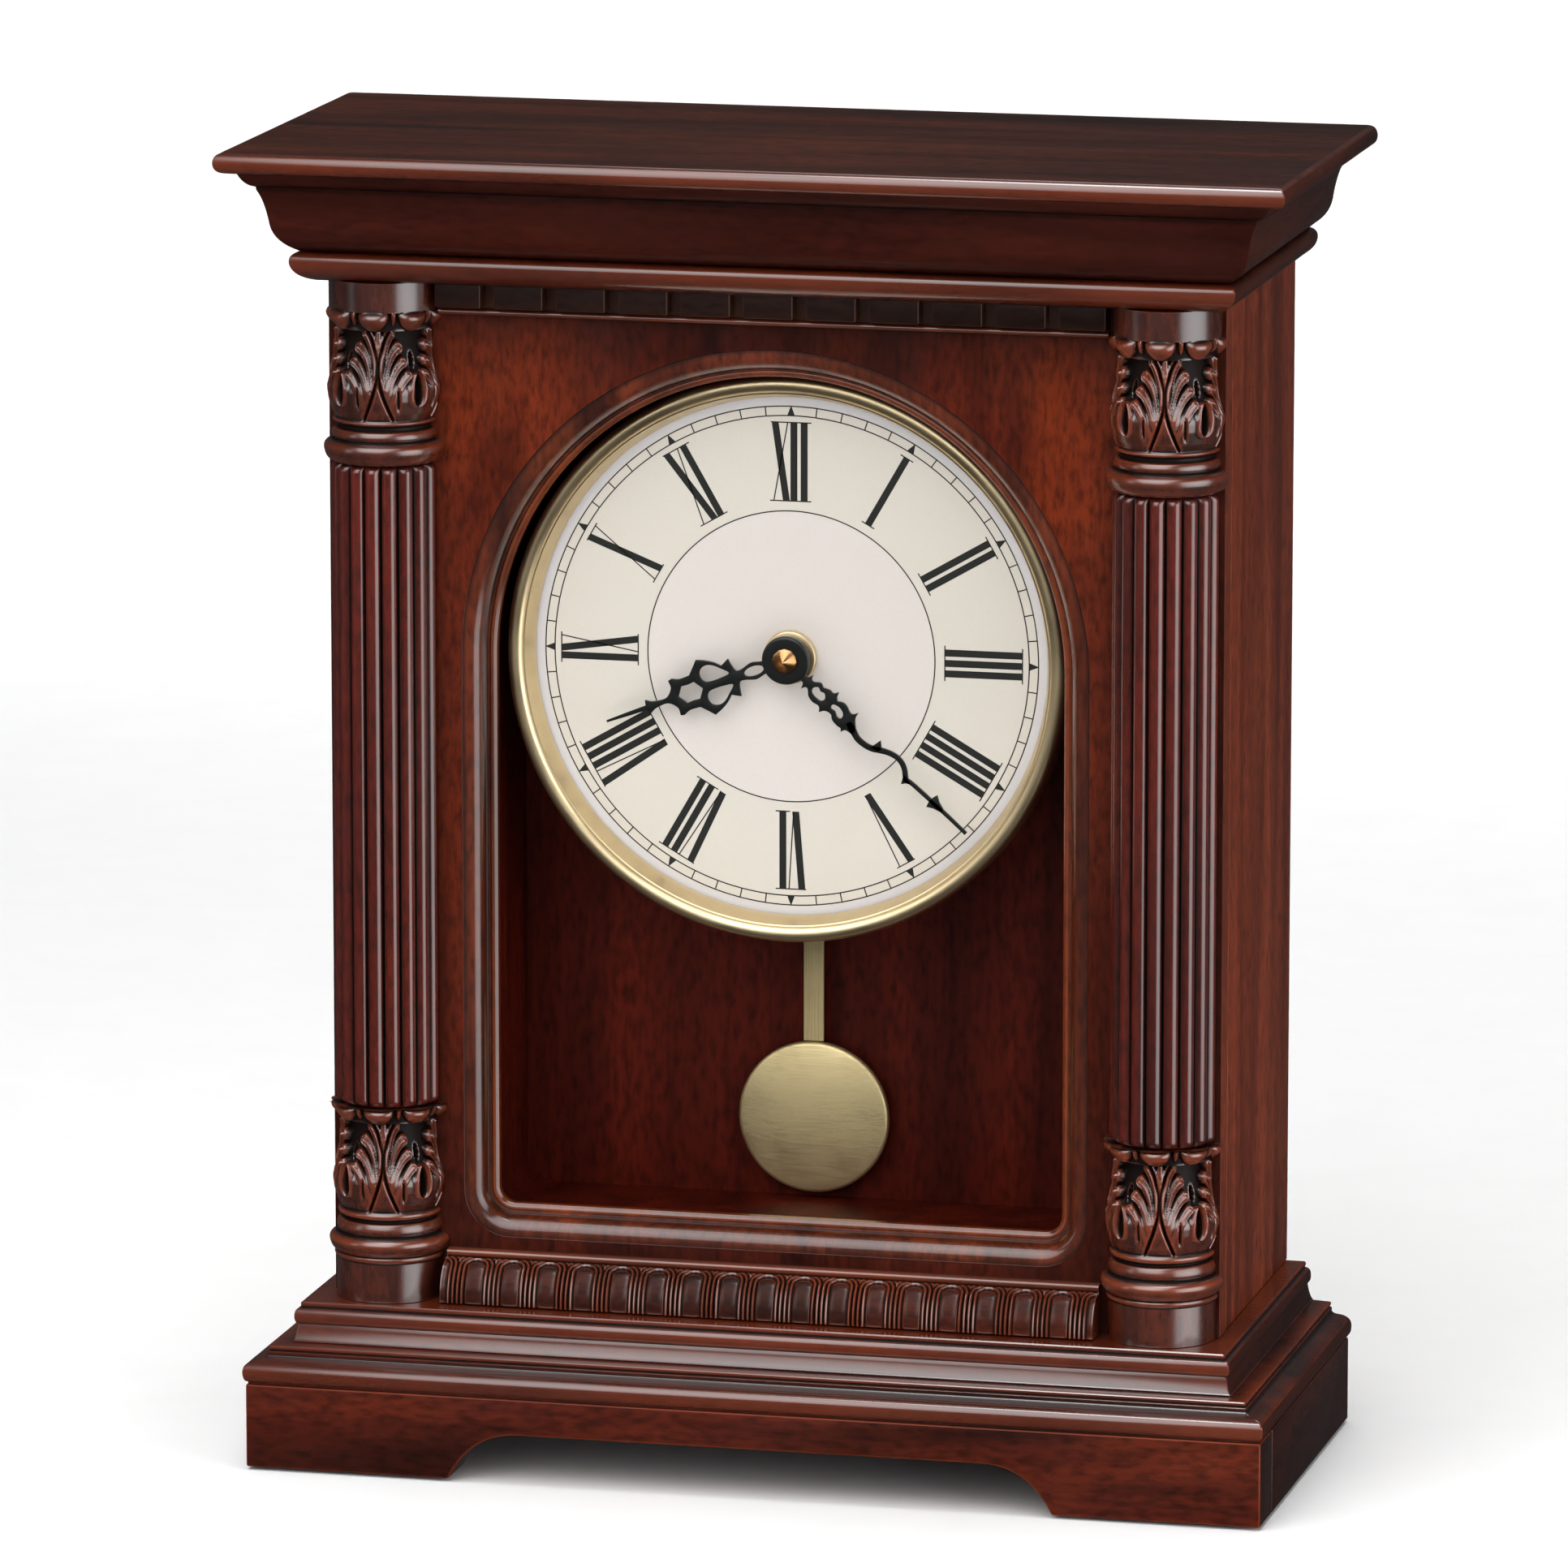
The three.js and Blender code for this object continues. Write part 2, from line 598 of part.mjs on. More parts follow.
// ---------------------------------------------------------------- movement

function buildMovement() {
  const outer = 48;
  const wall = 2;
  const bottom = DIAL_Z - 38;
  const top = DIAL_Z + 30;
  const front = -6.1;
  const floor = -4.1;
  const rear = 9;
  const bay = [30.5, 46];
  const bayHeights = [DIAL_Z - 34.2, DIAL_Z + 20.2];
  const body = block([-outer, outer], [front, rear], [bottom, top]);
  const cavity = block([-29, 29], [floor, rear + 1], [bottom + wall, top - wall]);
  const bays = [-1, 1].map((side) => {
    const edges = [side * bay[0], side * bay[1]].sort((a, b) => a - b);
    return block(edges, [floor, rear + 1], bayHeights);
  });
  const shell = cut(body, cavity, ...bays);
  const bushing = rodY(4.4, [-10.6, floor], 0, DIAL_Z, 24);
  const stud = rodY(0.72, [-5, 0.6], -GEAR_DISTANCE, DIAL_Z, 12);
  const housing = cut(join(shell, bushing, stud), rodY(3, [-12, 0], 0, DIAL_Z, 24));
  put("movement_housing", housing, "plastic");

  const cover = block([-30.4, 30.4], [rear + 0.2, 11], [bottom, top]);
  put("movement_cover", cut(cover, rodY(1.4, [8, 12], 0, DIAL_Z, 16)), "plastic");

  const board = block([-27, 27], [4.4, 6], [DIAL_Z + 12, DIAL_Z + 27]);
  const chip = block([-5, 5], [3.2, 4.5], [DIAL_Z + 15, DIAL_Z + 24]);
  put("circuit_board", join(board, chip), "circuit");
  put("drive_capsule", block([6, 27], [-3.7, 5.6], [DIAL_Z - 32, DIAL_Z - 12]), "plastic");

  const cellRadius = 7.1;
  const cellBottom = DIAL_Z - 33.8;
  const cell = [[0, 0], [cellRadius, 0], [cellRadius, 49.3], [2.7, 49.3], [2.7, 50.5], [0, 50.5]];
  const cellPoints = cell.map(([r, y]) => new THREE.Vector2(r, y));
  for (const [side, label] of [[-1, "left"], [1, "right"]]) {
    const battery = closed(new THREE.LatheGeometry(cellPoints, 20)).rotateX(Math.PI / 2);
    put(`battery_${label}`, battery.translate(side * 38.25, 3.3, cellBottom), "cell");
  }

  const selectorHeights = [DIAL_Z + 20, DIAL_Z + 24];
  put("chime_selector", block([14, 20], [11.3, 13.6], selectorHeights), "nylon");
  put("volume_selector", block([-20, -14], [11.3, 13.6], selectorHeights), "nylon");
}

// ---------------------------------------------------------------- pendulum

function buildPendulum() {
  const pinRadius = 0.9;
  const plate = block([-5, 5], [11.3, 12.4], [PIVOT_Z - 5, PIVOT_Z + 7]);
  const pin = rodY(pinRadius, [12, 16.4], 0, PIVOT_Z, 16);
  const head = rodY(1.8, [15.6, 16.6], 0, PIVOT_Z, 16);
  put("pendulum_hanger", join(plate, pin, head), "steel");

  const rodThickness = [PENDULUM_Y - 0.4, PENDULUM_Y + 0.4];
  const eye = rodY(2.6, rodThickness, 0, PIVOT_Z, 20);
  const strip = block([-2.4, 2.4], rodThickness, [BOB_Z + BOB_R + 0.3, PIVOT_Z - 1.2]);
  const bore = rodY(pinRadius + 0.08, [12, 17], 0, PIVOT_Z, 16);
  put("pendulum_rod", cut(join(eye, strip), bore), "oldBrass");

  const bob = [
    [0, 11.3], [5, 11.5], [10, 12.1], [14, 13], [17, 13.9], [BOB_R, 14.4], [BOB_R, 15.2], [17, 15.8], [0, 16.2],
  ];
  put("pendulum_bob", turnedY(bob, 0, BOB_Z), "oldBrass");
}

// ---------------------------------------------------------------- back door

function buildDoor() {
  const panel = block([-96.2, 93.4], [DOOR_FRONT, DOOR_REAR], [BASE_TOP + 0.8, CORNICE_BOTTOM - 0.8]);
  const slots = [];
  for (let k = -3; k <= 3; k += 1) {
    const middle = k * 6;
    const edges = [middle - 1.3, middle + 1.3];
    slots.push(block(edges, [DOOR_FRONT - 1, DOOR_REAR + 1], [SPEAKER_Z - 17, SPEAKER_Z + 17]));
  }
  put("back_door", cut(panel, ...slots), "plywood");

  const knob = [[0, 49.2], [3, 49.2], [2.4, 51], [4.6, 52.6], [5, 53.8], [4.2, 54.8], [0, 55.2]];
  put("door_knob", turnedY(knob, -82, 165, 24), "oldBrass");

  const basket = [[0, 31], [12, 31], [26, 41.5], [26, 44.2], [22, 44.2], [10.5, 34], [0, 34]];
  put("speaker_basket", turnedY(basket, 0, SPEAKER_Z, 32), "plastic");
  put("speaker_magnet", rodY(13, [23.4, 30.8], 0, SPEAKER_Z, 28), "steel");
}

function rodZ(radius, [z0, z1], segments = 16) {
  const cylinder = new THREE.CylinderGeometry(radius, radius, z1 - z0, segments);
  return cylinder.rotateX(Math.PI / 2).translate(HINGE_X, HINGE_Y, (z0 + z1) / 2);
}

// One leaf of the long hinge: a plate beside the pin, with every second knuckle joined to it.
function hingeLeaf(plateX, firstKnuckle) {
  const [bottom, top] = [50, 268];
  const knuckles = 7;
  const length = (top - bottom) / knuckles;
  const clearance = 0.3;
  const pieces = [block(plateX, [41, 47.4], [bottom, top])];
  for (let k = firstKnuckle; k < knuckles; k += 2) {
    const span = [bottom + k * length + clearance, bottom + (k + 1) * length - clearance];
    pieces.push(rodZ(1.5, span));
    pieces.push(block(plateX, [47.2, HINGE_Y], span));
  }
  return cut(join(...pieces), rodZ(0.8, [bottom - 1, top + 1], 12));
}

function buildHinge() {
  put("hinge_leaf_case", hingeLeaf([95.95, 96.7], 0), "brass");
  put("hinge_leaf_door", hingeLeaf([93.9, 94.65], 1), "brass");
  put("hinge_pin", rodZ(0.72, [49.6, 268.4], 12), "brass");
}

buildPlinth();
buildBaseBoards();
buildCaseWalls();
buildFrontBoard();
buildColumns();
buildDentils();
buildReelMoulding();
buildCornice();
buildDial();
buildMovement();
buildMotionWork();
buildPendulum();
buildHinge();
buildDoor();

export default clock;
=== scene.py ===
"""The looks of a wooden mantel clock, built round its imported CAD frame.

The pieces are drawn in millimetres, and solid_mesh() turns them into metres. The textures, the room
and the lights are in metres. X is to the right, the clock faces -Y and Z is up.
"""

import math

import bmesh
import bpy
import numpy as np
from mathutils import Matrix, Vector


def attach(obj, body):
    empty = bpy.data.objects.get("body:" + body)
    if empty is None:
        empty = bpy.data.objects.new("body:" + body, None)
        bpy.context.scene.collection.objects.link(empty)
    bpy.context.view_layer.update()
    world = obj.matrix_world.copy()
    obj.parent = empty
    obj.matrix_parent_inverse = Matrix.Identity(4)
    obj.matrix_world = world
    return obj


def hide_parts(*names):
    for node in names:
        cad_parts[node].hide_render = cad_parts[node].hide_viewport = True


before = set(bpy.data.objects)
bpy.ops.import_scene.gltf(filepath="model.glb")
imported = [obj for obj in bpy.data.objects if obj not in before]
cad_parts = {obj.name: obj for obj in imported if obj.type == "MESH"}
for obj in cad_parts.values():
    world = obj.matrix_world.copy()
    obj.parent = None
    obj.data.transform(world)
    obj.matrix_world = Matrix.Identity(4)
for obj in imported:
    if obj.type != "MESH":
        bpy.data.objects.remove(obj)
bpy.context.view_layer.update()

MM = 0.001
TOUCH = 1e-6  # points closer than this, in metres, are one

# --- sizes, in millimetres

CASE_HALF = 105.9
CASE_FRONT = -25.8
CASE_REAR = 55.3
COLUMN_COVER = 10.3  # extra reach of the mouldings in front
FRONT_THICK = 7.5
SIDE_THICK = 8.9
BASE_TOP = 38.6
CORNICE_BOTTOM = 279.75
SEAM = 0.15
PLINTH_REACH = 15.0
PLINTH_THICK = 14.0

DIAL_Z = 191.15
DIAL_FRONT = -8.5
OPENING_HALF = 67.5
OPENING_BOTTOM = 60.3
OPENING_CORNER = 4.0
LINER_SETBACK = 3.3
LINER_THICK = 3.5
RECESS_BACK = 18.2

COLUMN_X = 92.5
COLUMN_R = 12.6
LEAF_TURN = 8.0  # degrees by which the carved leaves are turned to the right
TONGUE_TURN = 3.0

MINUTE_ANGLE = 132.1  # clockwise from twelve
HOUR_ANGLE = 249.1
PIVOT_Z = 168.0
PENDULUM_Y = 14.5
BOB_Z = 76.8
BOB_R = 18.15
HAIRLINE = 0.14  # half the width of the dial's fine lines
INK_GAP = 0.005
INNER_RING_R = 34.27
TRACK_IN = 56.6
TRACK_OUT = 58.8
CARVED_R = 13.0  # mean radius of the carved bells, which turns an angle into a width

CAMERA_PLACE = (0.61795, -2.55749, 0.66926)  # in metres
CAMERA_TURN = 13.663  # degrees to the left
CAMERA_TILT = 10.966  # degrees downwards
CAMERA_LENS = 263.8

# black for dark glazing and for painted shade in hollows and grooves
GLAZE_AND_SHADE = (19, 9, 6)  # screen colours, from 0 to 255
PORE = (22, 7, 4)
# painted shade along the front panel's edges
PAINTED_EDGE_SHADE = (30, 11, 7)
WALL_PAINT = (240, 240, 240)


# --- outlines and solids

def trace(start, *steps, detail=8):
    """Points along straight steps, given as (a, b), and curved ones, given as (control, end)."""
    points = [start]
    for step in steps:
        if isinstance(step[0], (int, float)):
            points.append(step)
            continue
        (ax, ay), (bx, by), (cx, cy) = points[-1], *step
        for i in range(1, detail + 1):
            t = i / detail
            u = 1 - t
            x = u * u * ax + 2 * u * t * bx + t * t * cx
            y = u * u * ay + 2 * u * t * by + t * t * cy
            points.append((x, y))
    return points


def loft(rings, closed=False, capped=True):
    """A skin over rings that all have the same number of points."""
    count = len(rings[0])
    verts = [point for ring in rings for point in ring]
    faces = []
    spans = len(rings) if closed else len(rings) - 1
    for i in range(spans):
        here, there = i * count, (i + 1) % len(rings) * count
        for k in range(count):
            n = (k + 1) % count
            faces.append((here + k, here + n, there + n, there + k))
    if capped and not closed:
        faces.append(tuple(reversed(range(count))))
        faces.append(tuple(range(len(verts) - count, len(verts))))
    return verts, faces


def merged(*shapes):
    """Several shapes as one list of points and one of faces."""
    verts, faces = [], []
    for some_verts, some_faces in shapes:
        start = len(verts)
        verts += some_verts
        faces += [tuple(start + i for i in face) for face in some_faces]
    return verts, faces


def block(xs, ys, zs):
    """A box between two values on each axis."""
    corners = [(xs[0], ys[0]), (xs[1], ys[0]), (xs[1], ys[1]), (xs[0], ys[1])]
    return loft([[(x, y, z) for x, y in corners] for z in zs])


def turned(profile, x, z, steps=96, closed=False):
    """A round solid about an axis along Y, from points of (radius, y)."""
    rings = []
    for k in range(steps):
        angle = 2 * math.pi * k / steps
        rings.append([(x + r * math.cos(angle), y, z + r * math.sin(angle)) for r, y in profile])
    count = len(profile)
    verts = [point for ring in rings for point in ring]
    faces = []
    for k in range(steps):
        here, there = k * count, (k + 1) % steps * count
        for i in range(count if closed else count - 1):
            n = (i + 1) % count
            faces.append((here + i, there + i, there + n, here + n))
    return verts, faces


def fill(loops, y):
    """Triangles over the flat area inside the first loop of (x, z) and outside the others."""
    bm = bmesh.new()
    for loop in loops:
        made = [bm.verts.new((x, y, z)) for x, z in loop]
        for a, b in zip(made, made[1:] + made[:1]):
            bm.edges.new((a, b))
    bmesh.ops.triangle_fill(bm, use_beauty=True, edges=bm.edges[:])
    bm.verts.index_update()
    verts = [tuple(v.co) for v in bm.verts]
    faces = [tuple(v.index for v in face.verts) for face in bm.faces]
    bm.free()
    return verts, faces


def pierced_board(outline, holes, front, rear):
    """A board of constant thickness with holes right through it."""
    loops = [outline, *holes]
    sides = [loft([[(x, y, z) for x, z in loop] for y in (front, rear)], capped=False) for loop in loops]
    return merged(fill(loops, front), fill(loops, rear), *sides)


def arc(cx, cz, radius, start, end, steps):
    """Points of (x, z) on a circle, from one angle in degrees to another."""
    turns = [math.radians(start + (end - start) * i / steps) for i in range(steps + 1)]
    return [(cx + radius * math.cos(a), cz + radius * math.sin(a)) for a in turns]


def arch_outline(outward, arc_steps=96):
    """The arched opening's outline in x and z, moved outwards."""
    half = OPENING_HALF + outward
    bottom = OPENING_BOTTOM - outward
    corner = OPENING_CORNER + outward
    right = arc(half - corner, bottom + corner, corner, -90, 0, 10)
    over = arc(0, DIAL_Z, half, 0, 180, arc_steps)
    left = arc(-half + corner, bottom + corner, corner, 180, 270, 10)
    return right + over + left


def smooth_line(points, closed=False, detail=5):
    """More points through the given ones, each a tuple of numbers, on a smooth curve."""
    pts = np.array(points, float)
    if not closed:
        pts = np.vstack([2 * pts[0] - pts[1], pts, 2 * pts[-1] - pts[-2]])
    else:
        pts = np.vstack([pts[-1], pts, pts[0], pts[1]])
    line = []
    for p0, p1, p2, p3 in zip(pts, pts[1:], pts[2:], pts[3:]):
        for t in np.arange(detail) / detail:
            a = 2 * p1 + (p2 - p0) * t
            b = (2 * p0 - 5 * p1 + 4 * p2 - p3) * t * t
            c = (3 * p1 - p0 - 3 * p2 + p3) * t * t * t
            line.append((a + b + c) / 2)
    if not closed:
        line.append(pts[-2])
    return line


# --- pieces

def read_rows(items, name, width, kind=np.float32):
    """One property of all the points or edges of a mesh, as an array with a row for each."""
    values = np.empty(len(items) * width, kind)
    items.foreach_get(name, values)
    return values.reshape(-1, width)


def edge_bends(mesh, place):
    """The short edges' ends, and how sharply each point is bent outwards and inwards."""
    ridge_radius, longest = 0.5 * MM, 2.5 * MM
    normal = read_rows(mesh.vertex_normals, "vector", 3)
    a, b = read_rows(mesh.edges, "vertices", 2, np.int32).T
    step = place[b] - place[a]
    length = np.sqrt((step * step).sum(1))
    near = (length < longest) & (length > 0)
    a, b, step, length = a[near], b[near], step[near], length[near]
    ridge, hollow = np.zeros(len(place)), np.zeros(len(place))
    for point, way in ((a, -1), (b, 1)):
        bend = way * 2 * ridge_radius * (normal[point] * step).sum(1) / length ** 2
        np.maximum.at(ridge, point, bend)
        np.minimum.at(hollow, point, bend)
    return a, b, ridge, hollow


def mark_relief(mesh, depth, glaze_and_shade, flat_sides):
    """Stores how far each point stands out as a ridge (to 1) or lies in a hollow (to -1).

    With flat_sides, only the eased edges of a flat board count as ridges and not its faces.
    """
    place = read_rows(mesh.vertices, "co", 3)
    count = len(place)
    a, b, ridge, hollow = edge_bends(mesh, place)
    # hollows are weighted so that the wood looks paint them dark, as glazing and as painted shade
    relief = np.clip(ridge + glaze_and_shade * hollow, -1, 1)
    links = np.maximum(np.bincount(a, minlength=count) + np.bincount(b, minlength=count), 1)
    for _ in range(2):
        around = np.zeros(count)
        np.add.at(around, a, relief[b])
        np.add.at(around, b, relief[a])
        relief = 0.5 * relief + 0.5 * around / links
    if depth is not None:
        relief = np.clip(relief + depth, -1, 1)
    if flat_sides:
        on_side = (place - place.min(0) < TOUCH) | (place.max(0) - place < TOUCH)
        relief[on_side.any(1)] = 0
    stored = mesh.attributes.new("relief", "FLOAT", "POINT")
    stored.data.foreach_set("value", relief.astype(np.float32))


def put_in_scene(name, data):
    made = bpy.data.objects.new(name, data)
    bpy.context.scene.collection.objects.link(made)
    return made


def solid_mesh(name, shape, bevel, weld):
    """A mesh in metres whose faces look outwards, with eased edges where bevel isn't 0."""
    verts, faces = shape
    mesh = bpy.data.meshes.new(name)
    mesh.from_pydata([(x * MM, y * MM, z * MM) for x, y, z in verts], [], faces)
    bm = bmesh.new()
    bm.from_mesh(mesh)
    if weld:
        bmesh.ops.remove_doubles(bm, verts=bm.verts[:], dist=TOUCH)
    bmesh.ops.recalc_face_normals(bm, faces=bm.faces[:])
    if bevel:
        corner = math.radians(40)
        edges = [edge for edge in bm.edges if edge.is_manifold and edge.calc_face_angle(0) > corner]
        bmesh.ops.bevel(bm, geom=edges, offset=bevel * MM, segments=3, profile=0.5, affect="EDGES",
                        clamp_overlap=True)
    bm.to_mesh(mesh)
    bm.free()
    return mesh


def paint_faces(mesh, looks):
    """Gives a mesh one look, or several: for most faces, for faces along X and for faces that look up."""
    for look in looks:
        mesh.materials.append(LOOKS[look])
    sideways, level = 0.72, 0.99  # how much of a face's normal points that way
    if len(looks) > 1:
        for face in mesh.polygons:
            face.material_index = int(abs(face.normal.x) > sideways)
            if len(looks) > 2 and face.normal.z > level:
                face.material_index = 2


def add_piece(name, shape, looks, stands_for=(), body="case", bevel=0.0, sharp=35, depth=None,
              glaze_and_shade=0.5):
    """Makes one piece. looks is the name of a look, or up to three names for paint_faces().

    depth is how far each point of a carved shape stands out from or lies below its surroundings, with
    painted shade added in its holes and grooves, and the last argument is how dark the narrow hollows are
    painted, as glazing and painted shade.
    """
    mesh = solid_mesh(name, shape, bevel, weld=depth is None)
    paint_faces(mesh, [looks] if isinstance(looks, str) else looks)
    mark_relief(mesh, depth, glaze_and_shade, flat_sides=bevel > 0)
    mesh.shade_smooth()
    mesh.set_sharp_from_angle(angle=math.radians(sharp))
    piece = put_in_scene(name, mesh)
    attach(piece, body)
    if stands_for:
        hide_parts(*stands_for)
    return piece


# --- materials

def srgb(red, green, blue):
    """A linear colour from the 0 to 255 values that a screen shows."""
    parts = [c / 255 for c in (red, green, blue)]
    return tuple(c / 12.92 if c <= 0.04045 else ((c + 0.055) / 1.055) ** 2.4 for c in parts) + (1.0,)


def brighter(colour, *shares):
    """A linear colour from a screen colour with its parts scaled."""
    return srgb(*(min(255, c * k) for c, k in zip(colour, shares)))


def node(kind, inputs, **settings):
    """A new node beside those that feed it, with each input set to a value or linked to a socket."""
    feeds = {key: value for key, value in inputs.items() if isinstance(value, bpy.types.NodeSocket)}
    tree = next(iter(feeds.values())).id_data
    made = tree.nodes.new(kind)
    for key, value in settings.items():
        setattr(made, key, value)
    for key, value in inputs.items():
        if key in feeds:
            tree.links.new(value, made.inputs[key])
        else:
            made.inputs[key].default_value = value
    return made


def mix(factor, a, b):
    """The colour a, or b where the factor is 1."""
    return node("ShaderNodeMix", {0: factor, 6: a, 7: b}, data_type="RGBA").outputs[2]


def span(value, low, high, to_low=0.0, to_high=1.0):
    """Maps the range from low to high onto another range, and stops at its ends."""
    limits = {"Value": value, "From Min": low, "From Max": high, "To Min": to_low, "To Max": to_high}
    return node("ShaderNodeMapRange", limits).outputs[0]


def maths(kind, a, b=0.0):
    return node("ShaderNodeMath", {0: a, 1: b}, operation=kind).outputs[0]


def noise(place, scale, stretch=(1, 1, 1), shift=0.0, detail=3.0, distortion=0.0):
    mapping = {"Vector": place, "Location": (shift, shift * 1.7, shift * 2.3), "Scale": stretch}
    moved = node("ShaderNodeMapping", mapping).outputs[0]
    inputs = {"Vector": moved, "Scale": scale, "Detail": detail, "Distortion": distortion}
    return node("ShaderNodeTexNoise", inputs).outputs[0]


def bumped(height, distance, strength=1.0, normal=None):
    inputs = {"Height": height, "Distance": distance, "Strength": strength}
    if normal:
        inputs["Normal"] = normal
    return node("ShaderNodeBump", inputs).outputs[0]


def new_look(name):
    look = bpy.data.materials.new(name)
    look.use_nodes = True
    nodes = look.node_tree.nodes
    place = nodes.new("ShaderNodeTexCoord").outputs["Object"]
    return look, nodes["Principled BSDF"], place


def link(shader, **values):
    """Links sockets to the shader's inputs, which are named with _ for a space."""
    for name, value in values.items():
        shader.id_data.links.new(value, shader.inputs[name.replace("_", " ")])


def along(grain, share):
    """Stretches a texture along one axis."""
    return tuple(share if axis == grain else 1.0 for axis in "xyz")


def stain(place, dark, light, grain, shift, glow, pores, patches, panel):
    """The wood's colour: its figure, warmer patches, mottling and pores, and on the panel its lighter upper
    corners and painted shade along its edges.
    """
    figure = noise(place, 75, along(grain, 0.07), shift, detail=5, distortion=0.8)
    colour = mix(span(figure, 0.3, 0.72), srgb(*dark), srgb(*light))
    warm = brighter(light, 1.3, 1.5, 1.35)
    colour = mix(span(patches, 0.5, 0.8, 0, glow), colour, warm)
    if panel:
        colour = mix(sunburst(place), colour, warm)
        # painted shade beside the columns and under the cornice, and darker towards the bottom
        colour = mix(painted_panel_shade(place), colour, srgb(*PAINTED_EDGE_SHADE))
    mottle = noise(place, 700, along(grain, 0.35), shift + 7, detail=3)
    colour = mix(span(mottle, 0.42, 0.7, 0, 0.6), colour, srgb(*(c * 0.55 for c in dark)))
    return mix(span(pores, 0.56, 0.74, 0, 0.28), colour, srgb(*PORE))


def wood(name, dark, light, grain, shift, glow=0.25, rough=0.34, gloss=0.3, coat=0.1, coat_ior=1.5,
         coat_rough=0.16, lacquer=(-0.8, -0.35), wear=0.55, panel=False):
    """Stained, glazed and lacquered wood: black in hollows and rubbed to orange on edges.

    dark and light are the stain's two colours, and grain is the axis that the figure runs along.
    glow is how strong the warmer patches are, and wear is how strongly the edges are painted lighter, as wear
    and highlight.
    The lacquer thins out in the hollows between the two reliefs that lacquer gives.
    """
    look, shader, place = new_look(name)
    pores = noise(place, 2300, along(grain, 0.045), shift, detail=2)
    patches = noise(place, 26, along(grain, 0.5), shift + 3, detail=2)
    marks = shader.id_data.nodes.new("ShaderNodeAttribute")
    marks.attribute_name = "relief"
    relief = marks.outputs["Fac"]
    colour = stain(place, dark, light, grain, shift, glow, pores, patches, panel)
    # edges and ridges are painted lighter and more orange: wear, and painted highlight where light catches
    # them
    worn_and_highlit = span(relief, 0.15, 0.9, 0, wear)
    rubbed_and_highlit = maths("MULTIPLY", worn_and_highlit, span(patches, 0.3, 0.7, 0.3, 1.0))
    colour = mix(rubbed_and_highlit, colour, brighter(light, 1.5, 1.8, 1.8))
    # hollows are painted near black: dark glazing, and painted shade where light does not reach
    colour = mix(span(relief, -0.06, -0.45), colour, srgb(*GLAZE_AND_SHADE))
    smears = noise(place, 60, along(grain, 0.3), shift + 5, detail=4)
    even = span(smears, 0.3, 0.7, rough - 0.06, rough + 0.1)
    shine = maths("ADD", even, span(pores, 0.5, 0.8, 0, 0.12))
    shine = maths("ADD", shine, span(relief, -0.1, -0.6, 0, 0.2))
    wave = noise(place, 110, along(grain, 0.4), shift + 9, detail=2)
    slow = bumped(wave, 0.00012, 0.25)
    fine = bumped(pores, 0.00003, 0.35, slow)
    coating = span(relief, *lacquer, 0, coat)
    link(shader, Base_Color=colour, Roughness=shine, Normal=fine, Coat_Weight=coating)
    shader.inputs["Specular IOR Level"].default_value = gloss
    shader.inputs["Coat Roughness"].default_value = coat_rough
    shader.inputs["Coat IOR"].default_value = coat_ior
    return look


def sunburst(place):
    """The lighter, rubbed-through zone in the front panel's upper corners. It fades downwards."""
    part = node("ShaderNodeSeparateXYZ", {0: place})
    rise = span(part.outputs["Z"], 0.12, 0.22)
    across = maths("ABSOLUTE", part.outputs["X"])
    inner = span(across, 0.035, 0.062)
    cloud = span(noise(place, 32, (1, 1, 0.6), 2.0, detail=3), 0.32, 0.66)
    amount = maths("MULTIPLY", maths("MULTIPLY", rise, inner), cloud)
    return maths("MULTIPLY", amount, 0.95)


def painted_panel_shade(place):
    """Painted shade along the panel's edges, beside the columns and under the cornice, and darker towards the
    bottom.
    """
    part = node("ShaderNodeSeparateXYZ", {0: place})
    across = maths("ABSOLUTE", part.outputs["X"])
    beside = span(across, 0.074, 0.083)
    over = span(part.outputs["Z"], 0.252, 0.272)
    under = span(part.outputs["Z"], 0.12, 0.06, 0, 0.6)
    edges = maths("MAXIMUM", beside, maths("MAXIMUM", over, under))
    return maths("MULTIPLY", edges, 0.72)


def metal(name, colour, rough, grain="x", brushed=0.3, tarnish=0.15, shift=0.0):
    """Brass or steel, brushed along one axis and a little tarnished."""
    look, shader, place = new_look(name)
    lines = noise(place, 3000, along(grain, 0.02), shift, detail=2)
    stains = noise(place, 90, (1, 1, 1), shift + 4, detail=4)
    dull = srgb(*(c * 0.72 for c in colour))
    tone = mix(span(stains, 0.45, 0.8, 0, tarnish * 2), srgb(*colour), dull)
    tone = mix(span(lines, 0.4, 0.7, 0, brushed * 0.5), tone, dull)
    shine = span(stains, 0.3, 0.8, rough - 0.03, rough + 0.12)
    shine = maths("ADD", shine, span(lines, 0.3, 0.7, 0, brushed * 0.3))
    link(shader, Base_Color=tone, Roughness=shine, Normal=bumped(lines, 0.000012, brushed))
    shader.inputs["Metallic"].default_value = 1.0
    return look


def plain(name, colour, rough, grain_scale=900, speckle=0.12, depth=0.00002):
    """Paint, plastic, card and felt: one colour with a fine speckle, wear and a soft bump."""
    look, shader, place = new_look(name)
    speck = noise(place, grain_scale, detail=3)
    wear = noise(place, 45, shift=2.0, detail=4)
    darker = srgb(*(c * 0.8 for c in colour))
    tone = mix(span(speck, 0.4, 0.75, 0, speckle * 2), srgb(*colour), darker)
    tone = mix(span(wear, 0.5, 0.8, 0, speckle), tone, darker)
    shine = span(wear, 0.3, 0.8, rough - 0.05, rough + 0.1)
    link(shader, Base_Color=tone, Roughness=shine, Normal=bumped(speck, depth, 0.4))
    return look


